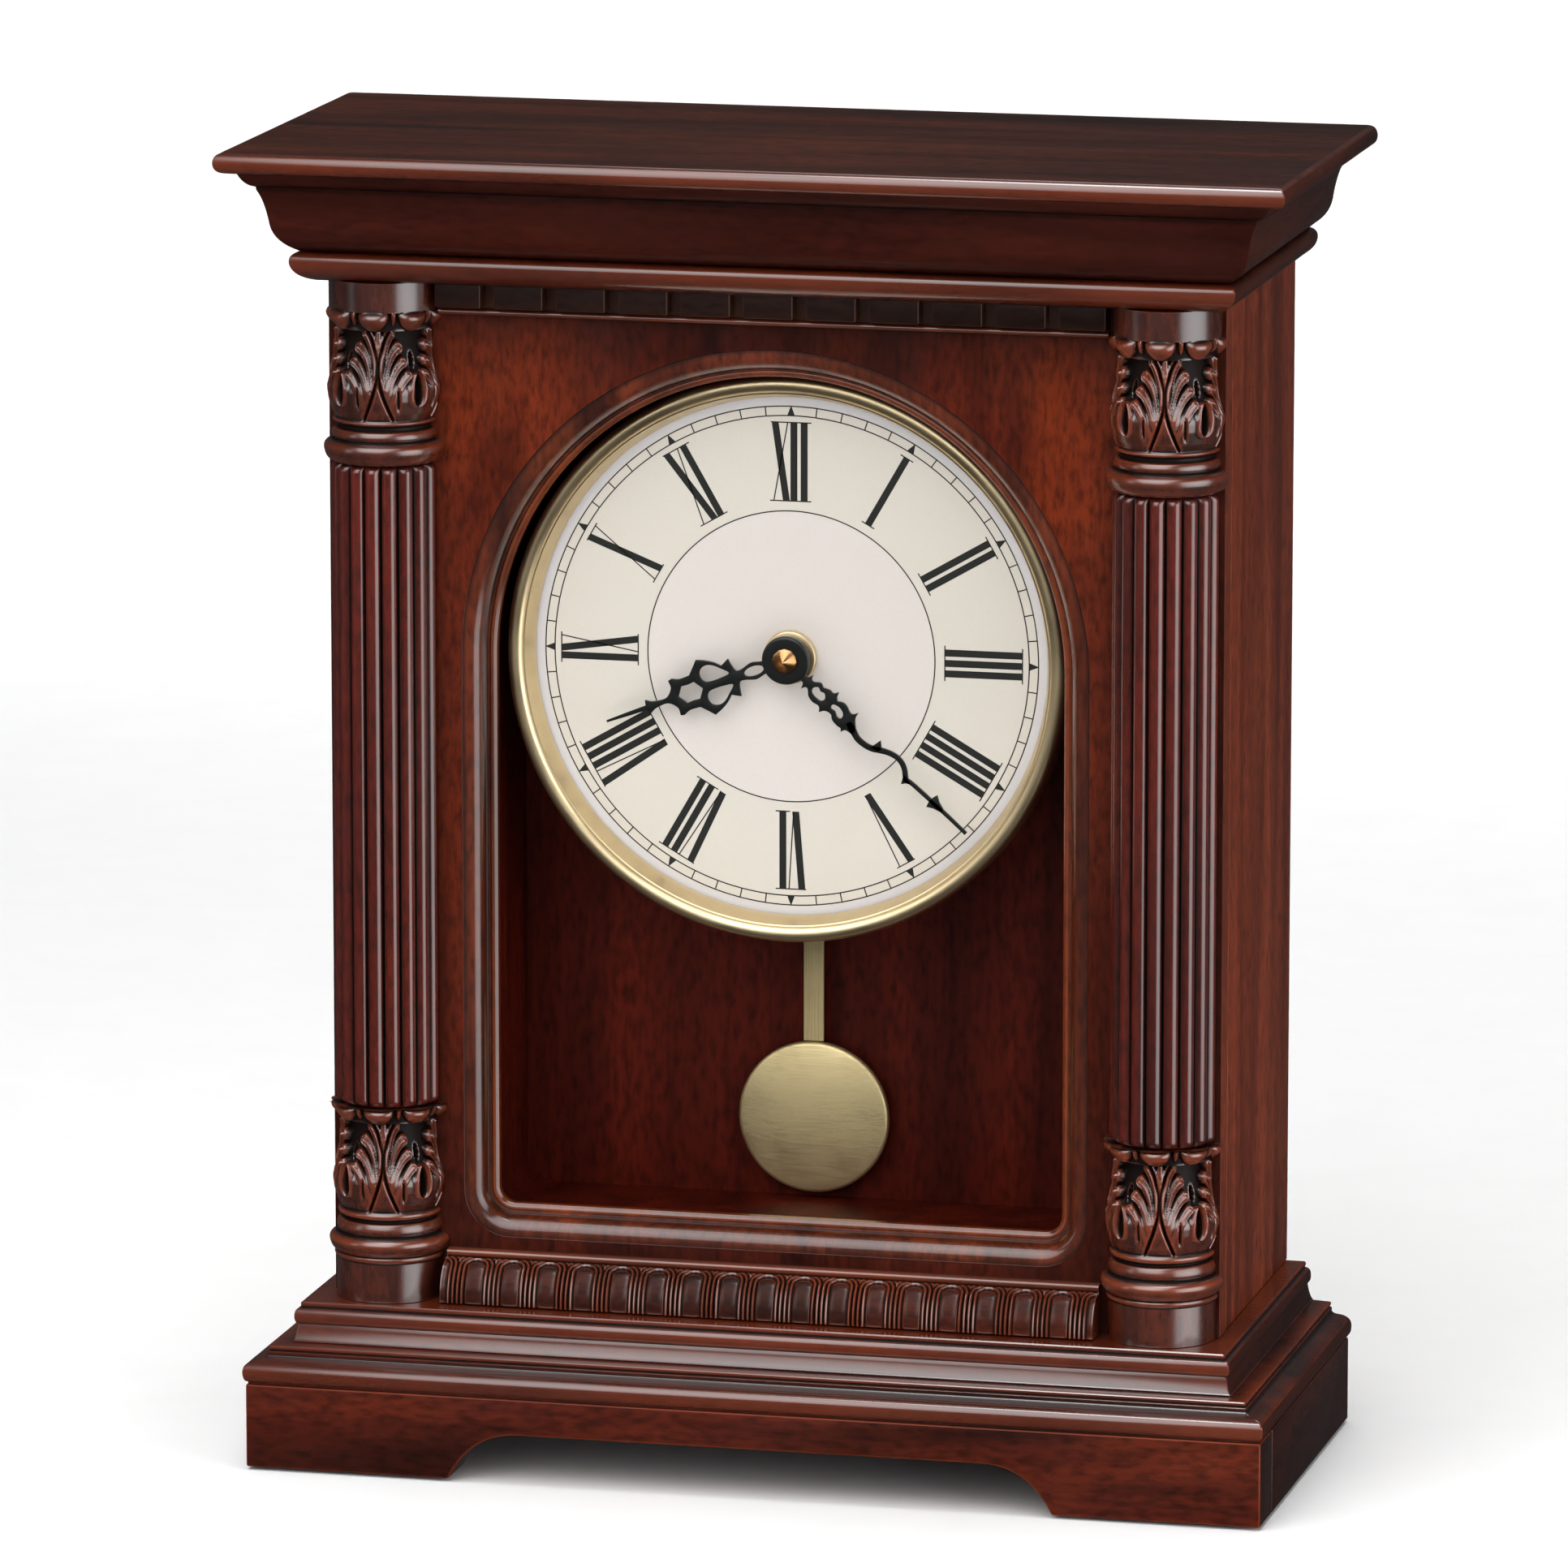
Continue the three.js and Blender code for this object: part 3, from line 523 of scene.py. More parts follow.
def dial_paint():
    """Cream paint, a little pinker inside the inner ring and whiter beyond the minute track."""
    look, shader, place = new_look("dial_cream")
    part = node("ShaderNodeSeparateXYZ", {0: place})
    up = maths("SUBTRACT", part.outputs["Z"], DIAL_Z * MM)
    squares = [maths("MULTIPLY", side, side) for side in (part.outputs["X"], up)]
    radius = maths("SQRT", maths("ADD", *squares))  # in metres
    tone = mix(span(radius, 0.0342, 0.0344), srgb(204, 197, 191), srgb(201, 195, 184))
    tone = mix(span(radius, 0.0588, 0.0592), tone, srgb(199, 196, 197))
    speck = noise(place, 1500, detail=3)
    cloud = noise(place, 30, shift=1.0, detail=2)
    tone = mix(span(speck, 0.45, 0.8, 0, 0.12), tone, srgb(182, 177, 163))
    tone = mix(span(cloud, 0.45, 0.75, 0, 0.15), tone, srgb(190, 183, 169))
    shine = span(cloud, 0.3, 0.8, 0.5, 0.62)
    link(shader, Base_Color=tone, Roughness=shine, Normal=bumped(speck, 0.00001, 0.3))
    return look


LOOKS = {
    "case_x": wood(
        "case_wood_x", (28, 8, 5), (80, 27, 11), "x", 0.3,
        glow=0.35, rough=0.28, coat=0.8, coat_ior=1.8, wear=0.9,
    ),
    "case_y": wood("case_wood_y", (28, 9, 5), (60, 21, 10), "y", 1.1, rough=0.4, coat=0.3, wear=0.8),
    "crown_x": wood("crown_wood", (18, 5, 3), (58, 16, 7), "x", 9.2, rough=0.36, gloss=0.12, coat=0.15),
    "plinth_x": wood(
        "plinth_wood", (30, 9, 5), (98, 32, 13), "x", 10.6,
        glow=0.4, rough=0.36, gloss=0.12, coat=0.15,
    ),
    "top_x": wood(
        "top_wood", (26, 10, 6), (66, 27, 14), "x", 2.4,
        glow=0.35, rough=0.36, gloss=0.12, coat=0.05,
    ),
    "side_z": wood("side_wood", (68, 27, 15), (130, 55, 31), "z", 0.7, rough=0.42, gloss=0.2, coat=0.05),
    "panel_z": wood(
        "panel_wood", (42, 10, 5), (94, 30, 12), "z", 1.9,
        glow=0.35, rough=0.3, gloss=0.12, panel=True,
    ),
    "moulding_z": wood(
        "moulding_wood", (46, 13, 6), (112, 46, 20), "z", 6.1,
        rough=0.32, gloss=0.2, coat=0.9, coat_ior=1.65,
    ),
    "recess_z": wood(
        "recess_wood", (46, 10, 5), (84, 22, 10), "z", 2.9,
        glow=0.15, rough=0.45, gloss=0.06, coat=0.0,
    ),
    "shaft_z": wood(
        "shaft_wood", (44, 9, 5), (92, 24, 12), "z", 7.2,
        glow=0.2, rough=0.28, gloss=0.2, coat=0.8, coat_ior=1.8, coat_rough=0.2,
    ),
    "carved_z": wood(
        "carved_wood_z", (30, 9, 5), (82, 29, 13), "z", 3.3,
        glow=0.3, rough=0.3, gloss=0.15, coat=1.0, coat_ior=1.9, coat_rough=0.24, wear=0.8,
    ),
    "carved_x": wood(
        "carved_wood_x", (32, 10, 5), (92, 34, 16), "x", 4.1,
        rough=0.45, gloss=0.12, coat=1.0, coat_ior=1.8, coat_rough=0.18,
        lacquer=(0.05, 0.45), wear=0.8,
    ),
    # the dentils' wood is darker than the case's: painted shade from the cornice above
    "dentil_x": wood("dentil_wood_painted_shade", (20, 8, 5), (50, 23, 14), "x", 8.3, gloss=0.2, coat=0.3, wear=0.7),
    "ply_z": wood(
        "plywood", (142, 110, 77), (170, 135, 97), "z", 5.2,
        glow=0.05, rough=0.6, gloss=0.1, coat=0.0, wear=0.1,
    ),
    "brass": metal("polished_brass", (238, 216, 172), 0.33, brushed=0.1, tarnish=0.1),
    "nut_brass": metal("nut_brass", (190, 142, 96), 0.22, brushed=0.1, tarnish=0.1, shift=3.0),
    "bob_brass": metal("brushed_brass", (244, 224, 172), 0.42, brushed=0.45, tarnish=0.12, shift=1.0),
    "rod_brass": metal("rod_brass", (255, 238, 188), 0.62, grain="z", brushed=0.35, shift=2.0),
    "steel": metal("steel", (176, 178, 180), 0.34, grain="z"),
    "dial": dial_paint(),
    "ink": plain("dial_ink", (26, 28, 24), 0.5),
    "hand_black": plain("hand_black", (17, 20, 18), 0.34),
    "black_plastic": plain("black_plastic", (30, 31, 33), 0.5),
    "nylon": plain("white_nylon", (222, 218, 206), 0.45),
    "circuit": plain("circuit_board", (28, 92, 52), 0.45),
    "cell": plain("battery_jacket", (92, 98, 104), 0.36),
    "felt": plain("felt", (36, 62, 46), 0.95, grain_scale=2600, speckle=0.4, depth=0.0002),
}


# --- case

CASE_PAIR = ("case_x", "case_y")


def moulded_board(profile):
    """A board whose front and side edges follow a profile of (reach, z), with a flat rear."""
    rings = []
    soft = 0.5  # the size of the eased corners
    for reach, z in profile:
        side = CASE_HALF + reach
        front = CASE_FRONT - COLUMN_COVER - reach
        left = [(-side, front + soft), (-side + soft * 0.3, front + soft * 0.3), (-side + soft, front)]
        right = [(-x, y) for x, y in reversed(left)]
        outline = [(-side, CASE_REAR), *left, *right, (side, CASE_REAR)]
        rings.append([(x, y, z) for x, y in outline])
    return loft(rings)


def add_board(name, profile, looks, cad, glaze_and_shade=2.2):
    add_piece(name, moulded_board(profile), looks, [cad], glaze_and_shade=glaze_and_shade)


def build_base():
    ovolo = trace(
        (14.6, 20.8), (14.6, 21.2), ((15.7, 21.3), (15.7, 23.6)), ((15.7, 25.9), (12.5, 26.2)),
        ((11.3, 26.3), (10.9, 26.9)), (10.9, 27.7), (10.7, 27.9), (10.3, 28.0), (10.3, 28.3), (10.7, 28.4),
        (10.7, 28.9), (10.5, 29.1), (6.6, 29.3),
    )
    nose = trace(
        (6.4, 29.45), ((5.5, 30.0), (5.0, 33.3)), (4.9, 33.5), ((5.8, 33.6), (5.8, 35.2)),
        ((5.8, 37.0), (4.7, 37.15)), (4.3, 37.3), (4.3, 37.6), (4.5, 37.7), (4.5, 38.3), (4.2, 38.6),
    )
    add_board("base_ovolo_board", ovolo, CASE_PAIR, "base_board_lower")
    add_board("base_nosed_board", nose, CASE_PAIR, "base_board_upper")


def build_cornice():
    bed = trace((0.3, 279.75), ((4.3, 280.8), (5.1, 283.6)), ((5.7, 286.1), (3.2, 286.6)))
    crown = trace(
        (3.2, 286.8), ((7.9, 289.2), (8.7, 293.4)), ((9.6, 299.2), (11.1, 301.7)), (11.2, 302.5),
        (12.2, 302.8), ((13.9, 303.8), (14.7, 305.9)),
    )
    top = trace(
        (16.4, 306.05), (17.0, 306.15), ((19.2, 306.5), (19.2, 308.7)), ((19.1, 310.9), (16.9, 311.0)),
    )
    add_board("cornice_bed", bed, CASE_PAIR, "bed_moulding")
    add_board("cornice_crown", crown, ("crown_x", "case_y"), "crown_moulding")
    add_board("clock_top", top, (*CASE_PAIR, "top_x"), "top_board", glaze_and_shade=0.5)


def build_plinth():
    outer = CASE_HALF + PLINTH_REACH
    front = CASE_FRONT - COLUMN_COVER - PLINTH_REACH
    low, high = 0.8, 20.65
    foot, lean, flat, cut_top = 72.0, 66.5, 55.0, 12.1
    half = trace((foot, low), ((lean, cut_top), (flat, cut_top)), detail=16)
    under = [(-x, z) for x, z in half] + list(reversed(half))
    outline = [(-outer, low), *under, (outer, low), (outer, high), (-outer, high)]
    shape = pierced_board(outline, [], front, front + PLINTH_THICK)
    add_piece("bracket_front", shape, ("plinth_x", "case_y"), ["plinth_front"], bevel=0.5)
    inner = outer - PLINTH_THICK
    for side, label in ((-1, "left"), (1, "right")):
        xs = sorted((side * inner, side * outer))
        shape = block(xs, (front + PLINTH_THICK + SEAM, CASE_REAR), (low, high))
        add_piece(f"bracket_{label}", shape, "case_y", [f"plinth_{label}"], bevel=0.4)


def build_front_board():
    """The flat front board, and the big round moulding and thin lip round its opening."""
    edge = trace(
        (7.0, 0.05), (6.9, 0.3), ((3.0, 0.0), (2.1, 4.2)), (1.6, 4.3), (1.45, 5.0), ((0.9, 4.7), (0.3, 5.3)),
        (0.0, 5.6), (0.0, FRONT_THICK), (7.0, FRONT_THICK), detail=9,
    )
    rear = CASE_FRONT + FRONT_THICK
    low, high = BASE_TOP + SEAM, CORNICE_BOTTOM - SEAM
    rim = [(-CASE_HALF, low), (CASE_HALF, low), (CASE_HALF, high), (-CASE_HALF, high)]
    board = pierced_board(rim, [arch_outline(edge[0][0] + 0.05)], CASE_FRONT, rear)
    add_piece("front_panel", board, ("panel_z", "side_z"), ["front_board"], sharp=30)
    rings = [[(x, CASE_FRONT + depth, z) for x, z in arch_outline(out)] for out, depth in edge]
    add_piece("opening_moulding", loft(rings, closed=True), "moulding_z", glaze_and_shade=1.6)


def build_case():
    """The two sides, and the bent liner that closes the recess behind the opening."""
    front = CASE_FRONT + FRONT_THICK + SEAM
    zs = (BASE_TOP + SEAM, CORNICE_BOTTOM - SEAM)
    inner = CASE_HALF - SIDE_THICK
    for side, label in ((-1, "left"), (1, "right")):
        xs = sorted((side * inner, side * CASE_HALF))
        shape = block(xs, (front, CASE_REAR), zs)
        add_piece(f"case_side_{label}", shape, "side_z", [f"side_{label}"], bevel=0.45)
    ring = [(LINER_SETBACK, front), (LINER_SETBACK + LINER_THICK, front)]
    ring += [(out, RECESS_BACK - SEAM) for out in (LINER_SETBACK + LINER_THICK, LINER_SETBACK)]
    rings = [[(x, y, z) for x, z in arch_outline(out)] for out, y in ring]
    add_piece("recess_jambs", loft(rings, closed=True), "recess_z", ["recess_liner"])


# --- carving

def ease(low, high, value):
    """Rises smoothly from 0 at low to 1 at high."""
    t = np.clip((value - low) / (high - low), 0, 1)
    return t * t * (3 - 2 * t)


def sunken(height, cells):
    """How far each point of a height grid lies above (or, negative, below) its surroundings."""
    kernel = np.ones(2 * cells + 1) / (2 * cells + 1)
    around = np.pad(height, cells * 2, mode="edge")
    for axis in (0, 1, 0, 1):
        around = np.apply_along_axis(np.convolve, axis, around, kernel, "same")
    return height - around[cells * 2:-cells * 2, cells * 2:-cells * 2]


def half_round(x, angles, levels, radius):
    """A half-round solid, flat at the rear. radius[i][k] is for levels[i] and angles[k] from the front."""
    rear = CASE_FRONT - SEAM
    rings = []
    for z, row in zip(levels, radius):
        rings.append([(x + r * math.sin(a), rear - r * math.cos(a), z) for r, a in zip(row, angles)])
    return loft(rings)


def leaflet(across, up, base, bend, tip, half):
    """The height, from 0 to 1, of one rounded leaf lobe that swells towards its tip."""
    away = np.full_like(across, 1e9)
    share = np.zeros_like(across)
    for t in np.linspace(0, 1, 25):
        px = (1 - t) ** 2 * base[0] + 2 * t * (1 - t) * bend[0] + t * t * tip[0]
        pz = (1 - t) ** 2 * base[1] + 2 * t * (1 - t) * bend[1] + t * t * tip[1]
        gap = np.hypot(across - px, up - pz) / (half * (0.45 + 0.55 * t))
        closer = gap < away
        away = np.where(closer, gap, away)
        share = np.where(closer, t, share)
    body = np.sqrt(np.clip(1 - away ** 2, 0, 1)) - 0.22 * np.exp(-(((away - 0.42) / 0.14) ** 2))
    return np.where(away < 1, body * (0.35 + 0.65 * share), 0)


def leaf_lobes(across, up, height):
    """The four lobes of half a leaf, from its tip down, each as (across, share of the height)."""
    lift = np.zeros_like(across)
    for base, bend, tip, half in (
        ((0.9, 0.45), (1.2, 0.85), (3.2, 0.98), 1.9),
        ((1.5, 0.38), (2.6, 0.74), (5.4, 0.82), 1.7),
        ((2.1, 0.28), (3.8, 0.58), (6.6, 0.66), 1.5),
        ((3.0, 0.14), (4.8, 0.40), (7.6, 0.52), 1.3),
    ):
        scaled = [(x, z * height) for x, z in (base, bend, tip)]
        lift = np.maximum(lift, leaflet(across, up, *scaled, half))
    return lift


def line_cut(across, path, half):
    """The depth, from 0 to 1, of a rounded groove that follows path."""
    return np.exp(-(((across - path) / half) ** 2))


def leaves(angle, up, height):
    """Carved leaf height over the bell, and where it is painted dark (to -1), as painted shade in its holes
    and hollows.

    angle is from a leaf's middle, and up runs from 0 to height.
    """
    quarter = np.radians(45) * CARVED_R
    across = np.radians(np.abs((angle + 45) % 90 - 45)) * CARVED_R
    t = up / height
    lift = leaf_lobes(across, up, height)
    # the groove along the stem, a fold beside it and the ground between two leaves
    waist = 3.9 * np.clip(1 - t / 0.55, 0, 1) ** 1.7 + 0.2 + 18 * np.clip(t - 0.6, 0, 1) ** 2
    stem = line_cut(across, waist, 0.36)
    fold = line_cut(across, 5.3 - 1.2 * t, 0.3) * ease(0.1, 0.2, t) * ease(0.42, 0.32, t)
    floor = -2.4 * ease(0.3, 0.6, t) * ease(0.4, 1.6, across)
    # the round eye between two leaves with its raised rim, and the slit above it
    eye_t = (t - 0.35) / 0.18
    eye_half = 1.2 * np.sqrt(np.clip(1 - eye_t ** 2, 0, 1)) * (1 - 0.35 * eye_t)
    eye_gap = np.where(np.abs(eye_t) < 1.05, quarter - across - eye_half, 9.0)
    eye = ease(0.1, -0.5, eye_gap)
    rim = np.exp(-(((eye_gap - 0.75) / 0.65) ** 2)) * ease(0.02, 0.2, t) * ease(0.66, 0.52, t)
    slit_t = (t - 0.66) / 0.1
    slit_half = 0.8 * np.sqrt(np.clip(1 - slit_t ** 2, 0, 1))
    slit = ease(0.15, -0.25, quarter - across - slit_half) * (np.abs(slit_t) < 1)
    surface = floor + (0.5 - floor) * np.maximum(lift, rim) - 1.4 * stem - 0.8 * fold - 2.6 * eye - 2.2 * slit
    # the eye and slit are painted black: painted shade in the holes
    painted_hollow_shade = np.maximum(ease(0.3, 0.0, eye_gap), slit)
    return surface, np.minimum(np.clip((surface + 0.9) / 1.2, -1, 0), -painted_hollow_shade)


def tongues(angle, down):
    """Rounded lobes under a drum, with a small dart between each two. down runs from 0 to 1."""
    half_step = 22.5
    across = np.radians(np.abs((angle + half_step) % 45 - half_step)) * CARVED_R
    fall = np.clip(down, 0, 1)
    lobe = np.clip(1 - (across / 4.1) ** 2 - fall ** 2, 0, 1) ** 0.4
    full = 1.4 + 1.3 * np.sin(math.pi * np.clip(fall, 0, 1) ** 0.8)
    from_dart = np.radians(half_step) * CARVED_R - across
    dart = np.clip(1 - (from_dart / 0.7) ** 2 - (fall / 0.7) ** 2, 0, 1) ** 0.5
    return np.maximum(lobe * full, 1.9 * dart)


def carved_end(x, profile, tongue_top, leaf_top, leaf_bottom):
    """A column's capital or foot: a turned profile of (radius, z) with tongues over a leafy bell."""
    angles = np.radians(np.linspace(-90, 90, 201))
    top, bottom, step = profile[0][1], profile[-1][1], 0.2
    levels = np.linspace(top, bottom, int((top - bottom) / step))
    heights = [z for _, z in reversed(profile)]
    radii = [r for r, _ in reversed(profile)]
    turned_radius = np.interp(levels, heights, radii)[:, None] * np.ones_like(angles)
    degrees = np.degrees(angles)[None, :] * np.ones((len(levels), 1))
    z = levels[:, None] * np.ones_like(degrees)
    in_tongues = (z <= tongue_top) & (z > leaf_top)
    lobes = tongues(degrees - TONGUE_TURN, (tongue_top - z) / (tongue_top - leaf_top))
    in_leaves = (z <= leaf_top) & (z >= leaf_bottom)
    carving, painted_hollow_shade = leaves(degrees - LEAF_TURN, z - leaf_bottom, leaf_top - leaf_bottom)
    fade = ease(0, 0.8, z - leaf_bottom)
    radius = turned_radius + np.where(in_tongues, lobes, 0) + np.where(in_leaves, carving * fade, 0)
    # painted shade under and between the tongues and in the leaves' holes; with how far each point lies below
    # or above its surroundings, this paints hollows dark and ridges lighter
    painted_hollow_shade = np.where(in_tongues, np.clip((lobes - 0.9) / 0.8, -1, 0), np.where(in_leaves, painted_hollow_shade, 0))
    return half_round(x, angles, levels, radius), (sunken(radius, 6) / 0.9 + painted_hollow_shade).ravel()


def bell(top, bottom):
    """The bell under the leaves, as (radius, z), widest a third of the way up."""
    shape = (
        (0.0, 11.6), (0.08, 12.3), (0.22, 13.0), (0.36, 13.3), (0.52, 13.0), (0.7, 12.2), (0.86, 11.6),
        (1.0, 11.3),
    )
    return [(r, bottom + t * (top - bottom)) for t, r in reversed(shape)]


def capital_profile():
    profile = [
        (COLUMN_R, CORNICE_BOTTOM - SEAM), (COLUMN_R, 272.75), (12.4, 272.7), (11.2, 272.65), (11.2, 268.3),
    ]
    return profile + bell(268.2, 247.3) + trace(
        (11.7, 247.2), ((12.6, 246.7), (11.7, 246.2)), (10.9, 245.9), (10.9, 244.9), (11.9, 244.7),
        ((12.8, 243.5), (12.2, 242.5)), (12.1, 242.2), ((14.9, 241.6), (14.0, 239.0)),
        ((13.6, 237.3), (12.0, 236.9)),
    )


def foot_profile():
    return [(12.4, 85.0), (11.4, 84.9), (11.2, 81.3)] + bell(81.2, 60.2) + trace(
        (11.7, 60.0), ((12.7, 59.2), (11.8, 58.4)), (10.9, 58.2), (10.9, 57.5), (12.0, 57.3),
        ((12.9, 55.8), (12.3, 54.5)), (12.2, 54.1), ((15.0, 53.5), (14.0, 51.2)),
        ((13.6, 49.8), (12.5, 49.6)), (12.9, 49.4), ((13.2, 48.9), (12.9, 48.4)), (12.7, 48.3),
        (COLUMN_R, 48.0), (COLUMN_R, BASE_TOP + SEAM),
    )


def build_columns():
    ends = {  # a profile, the top of its tongues, and its leaves' top and bottom
        "capital": (capital_profile(), 272.7, 268.2, 247.2),
        "foot": (foot_profile(), 85.0, 81.2, 60.0),
    }
    cad = {"capital": "column_capital", "foot": "column_base"}
    for side, label in ((-1, "left"), (1, "right")):
        x = side * COLUMN_X
        for end, numbers in ends.items():
            # each depth also carries painted shade for the carving's holes and the reeds' grooves
            shape, depth = carved_end(x, *numbers)
            add_piece(f"carved_{end}_{label}", shape, "carved_z",
                      [f"{cad[end]}_{label}"], sharp=60, depth=depth)
        shape, depth = reeded_shaft(x)
        add_piece(f"reeded_shaft_{label}", shape, "shaft_z",
                  [f"column_shaft_{label}"], sharp=60, depth=depth)


def reeded_shaft(x):
    """A half-round shaft with reeds that round off at its two ends."""
    reeds, depth, end, fine_length = 9, 1.9, 1.8, 2.4
    low, high = 85.15, 236.75
    angles = np.radians(np.linspace(-90, 90, reeds * 16 + 1))
    fine = np.linspace(0, fine_length, 13)
    middle = np.linspace(low + fine_length, high - fine_length, 26)[1:-1]
    levels = np.concatenate([low + fine, middle, high - fine[::-1]])
    along_reed = np.abs(np.sin((np.degrees(angles) + 90) / 180 * reeds * math.pi))
    crown = np.clip(along_reed, 0, 1) ** 0.55
    edge = np.minimum(levels - low, high - levels)
    fade = np.sqrt(np.clip(1 - (1 - np.clip(edge / end, 0, 1)) ** 2, 0, 1))
    lift = fade[:, None] * crown[None, :]
    shape = half_round(x, angles, levels, COLUMN_R - depth + depth * lift)
    # the grooves between the reeds are painted dark: painted shade
    return shape, (1.3 * lift - 1.05).clip(-1, 0).ravel()


def build_dentils():
    """Blocks with narrow grooves between them, and a bead underneath."""
    half, pitch, groove = 79.0, 14.8, 3.2
    rear, front = CASE_FRONT - SEAM, -31.2
    top, low = CORNICE_BOTTOM - SEAM, 273.6
    edges = [-half]
    for k in range(-5, 5):
        edges += [(k + 0.5) * pitch - groove / 2, (k + 0.5) * pitch + groove / 2]
    edges.append(half)
    shapes = [block((-half, half), (rear - 1.4, rear), (272.0, top))]
    for left, right in zip(edges[::2], edges[1::2]):
        shapes.append(block((left, right), (front, rear - 0.3), (low, top)))
    add_piece("dentils", merged(*shapes), "dentil_x", ["dentil_strip"], bevel=0.3)
    bead = trace(
        (rear, 271.5), (rear - 1.3, 271.5), ((rear - 2.6, 271.6), (rear - 2.4, 272.4)),
        ((rear - 2.2, 273.1), (rear - 1.2, 273.2)), (rear, 273.2),
    )
    shape = loft([[(x, y, z) for y, z in bead] for x in (-half, half)])
    add_piece("dentil_bead", shape, "carved_x")


def reel_relief(xs, run):
    """How far nested arches round the reels' barrels stand out, and the painted shade and glazing between
    them.
    """
    pitch, arch_start, barrel, ridge_pitch = 8.75, 8.0, 2.2, 1.08
    from_middle = np.abs((xs[:, None] + pitch / 2) % pitch - pitch / 2)
    above = np.clip(run[None, :] - arch_start, 0, None)
    out = np.hypot(from_middle, above) - barrel
    out = np.where(run[None, :] < arch_start, from_middle - barrel, out)
    body = 0.6 * np.sqrt(np.clip(1 - (np.clip(out + barrel, 0, None) / barrel) ** 2, 0, 1)) ** 0.7
    ridges = np.abs(np.sin(math.pi * out / ridge_pitch))
    # painted shade between the arch ridges, and a little of the lighter wear and highlight on them
    hollow = np.where(out < 0, 0, np.clip(1.6 * ridges - 1.15, -1, 0.3))
    return np.where(out < 0, body, 0.95 * ridges), hollow


def build_reels():
    """Barrels in nested arches between the column feet, on a rounded strip under a thin ledge."""
    half = 78.0
    xs = np.linspace(-half, half, 701)
    turn = np.linspace(-0.05, math.pi / 2, 56)
    depth, tall = 6.4, 8.4
    centre_y, centre_z = -28.6, 39.6
    lift, hollow = reel_relief(xs, (turn - turn[0]) * (depth + tall) / 2)
    lift = lift * (1 - ease(turn[-1] - 0.12, turn[-1], turn))[None, :]
    rear, foot = CASE_FRONT - SEAM, BASE_TOP + SEAM
    ledge = [(-28.4, 48.7), (-28.7, 49.0), (-28.7, 50.0), (-28.4, 50.3), (rear, 50.4)]
    ledge += [(rear, foot), (centre_y - depth + 0.3, foot)]
    rings = []
    for x, row in zip(xs, lift):
        ring = []
        for a, h in zip(turn, row):
            ring.append((x, centre_y - (depth + h) * math.cos(a), centre_z + (tall + h) * math.sin(a)))
        rings.append(ring + [(x, y, z) for y, z in ledge])
    # the painted shade between the arches, and none on the ledge
    marks = np.pad(hollow, ((0, 0), (0, len(ledge)))).ravel()
    add_piece("reel_carving", loft(rings), "carved_x", ["reel_moulding"], sharp=60,
              depth=marks)


# --- dial

def on_dial(degrees, out, aside, y):
    """A point on the dial: out from its centre towards an angle, and aside in the clockwise sense."""
    a = math.radians(degrees)
    return (out * math.sin(a) + aside * math.cos(a), y, DIAL_Z + out * math.cos(a) - aside * math.sin(a))


def printed(degrees, corners, thick):
    """Flat ink on the dial, from its corners as (out, aside)."""
    ys = (DIAL_FRONT - INK_GAP, DIAL_FRONT - thick)
    return loft([[on_dial(degrees, out, aside, y) for out, aside in corners] for y in ys])


def stroke(degrees, start, end, half):
    """A printed line between two points of (out, aside), with square ends across."""
    (a, b), (c, d) = start, end
    return printed(degrees, [(a, b - half), (a, b + half), (c, d + half), (c, d - half)], 0.03)


def cross_line(degrees, out, left, right):
    """A fine printed line across a numeral, at one distance out."""
    near, far = out - HAIRLINE, out + HAIRLINE
    return printed(degrees, [(near, left), (near, right), (far, right), (far, left)], 0.028)


def numeral(degrees, letters):
    """A Roman numeral that reads with its top outwards, between two fine serif lines."""
    inner, outer = 36.6, 55.0
    thick, overhang = 0.82, 0.9
    half_width = {"I": 1.22, "V": 1.95, "X": 1.9}
    total = sum(2 * half_width[letter] for letter in letters)
    strokes, feet = [], []
    middle = -total / 2
    for letter in letters:
        half = half_width[letter]
        middle += half
        reach = half - 0.25
        if letter == "I":
            strokes.append(stroke(degrees, (inner, middle), (outer, middle), thick))
            feet += [middle - thick, middle + thick]
        elif letter == "V":
            strokes.append(stroke(degrees, (outer, middle - reach + 0.3), (inner, middle + 0.1), thick))
            strokes.append(stroke(degrees, (outer, middle + reach), (inner, middle + 0.6), HAIRLINE))
        else:
            lean = reach - 0.3
            strokes.append(stroke(degrees, (outer, middle - lean), (inner, middle + lean), thick))
            strokes.append(stroke(degrees, (outer, middle + reach), (inner, middle - reach), HAIRLINE))
            feet += [middle - reach, middle + reach]
        middle += half
    strokes.append(cross_line(degrees, outer, -total / 2 - overhang + 0.4, total / 2 + overhang - 0.4))
    if feet:
        strokes.append(cross_line(degrees, inner, feet[0] - overhang, feet[-1] + overhang))
    return merged(*strokes)


def printed_ring(radius):
    near, far = DIAL_FRONT - INK_GAP, DIAL_FRONT - 0.025
    low, high = radius - HAIRLINE, radius + HAIRLINE
    return turned([(low, near), (high, near), (high, far), (low, far)], 0, DIAL_Z, 180, closed=True)


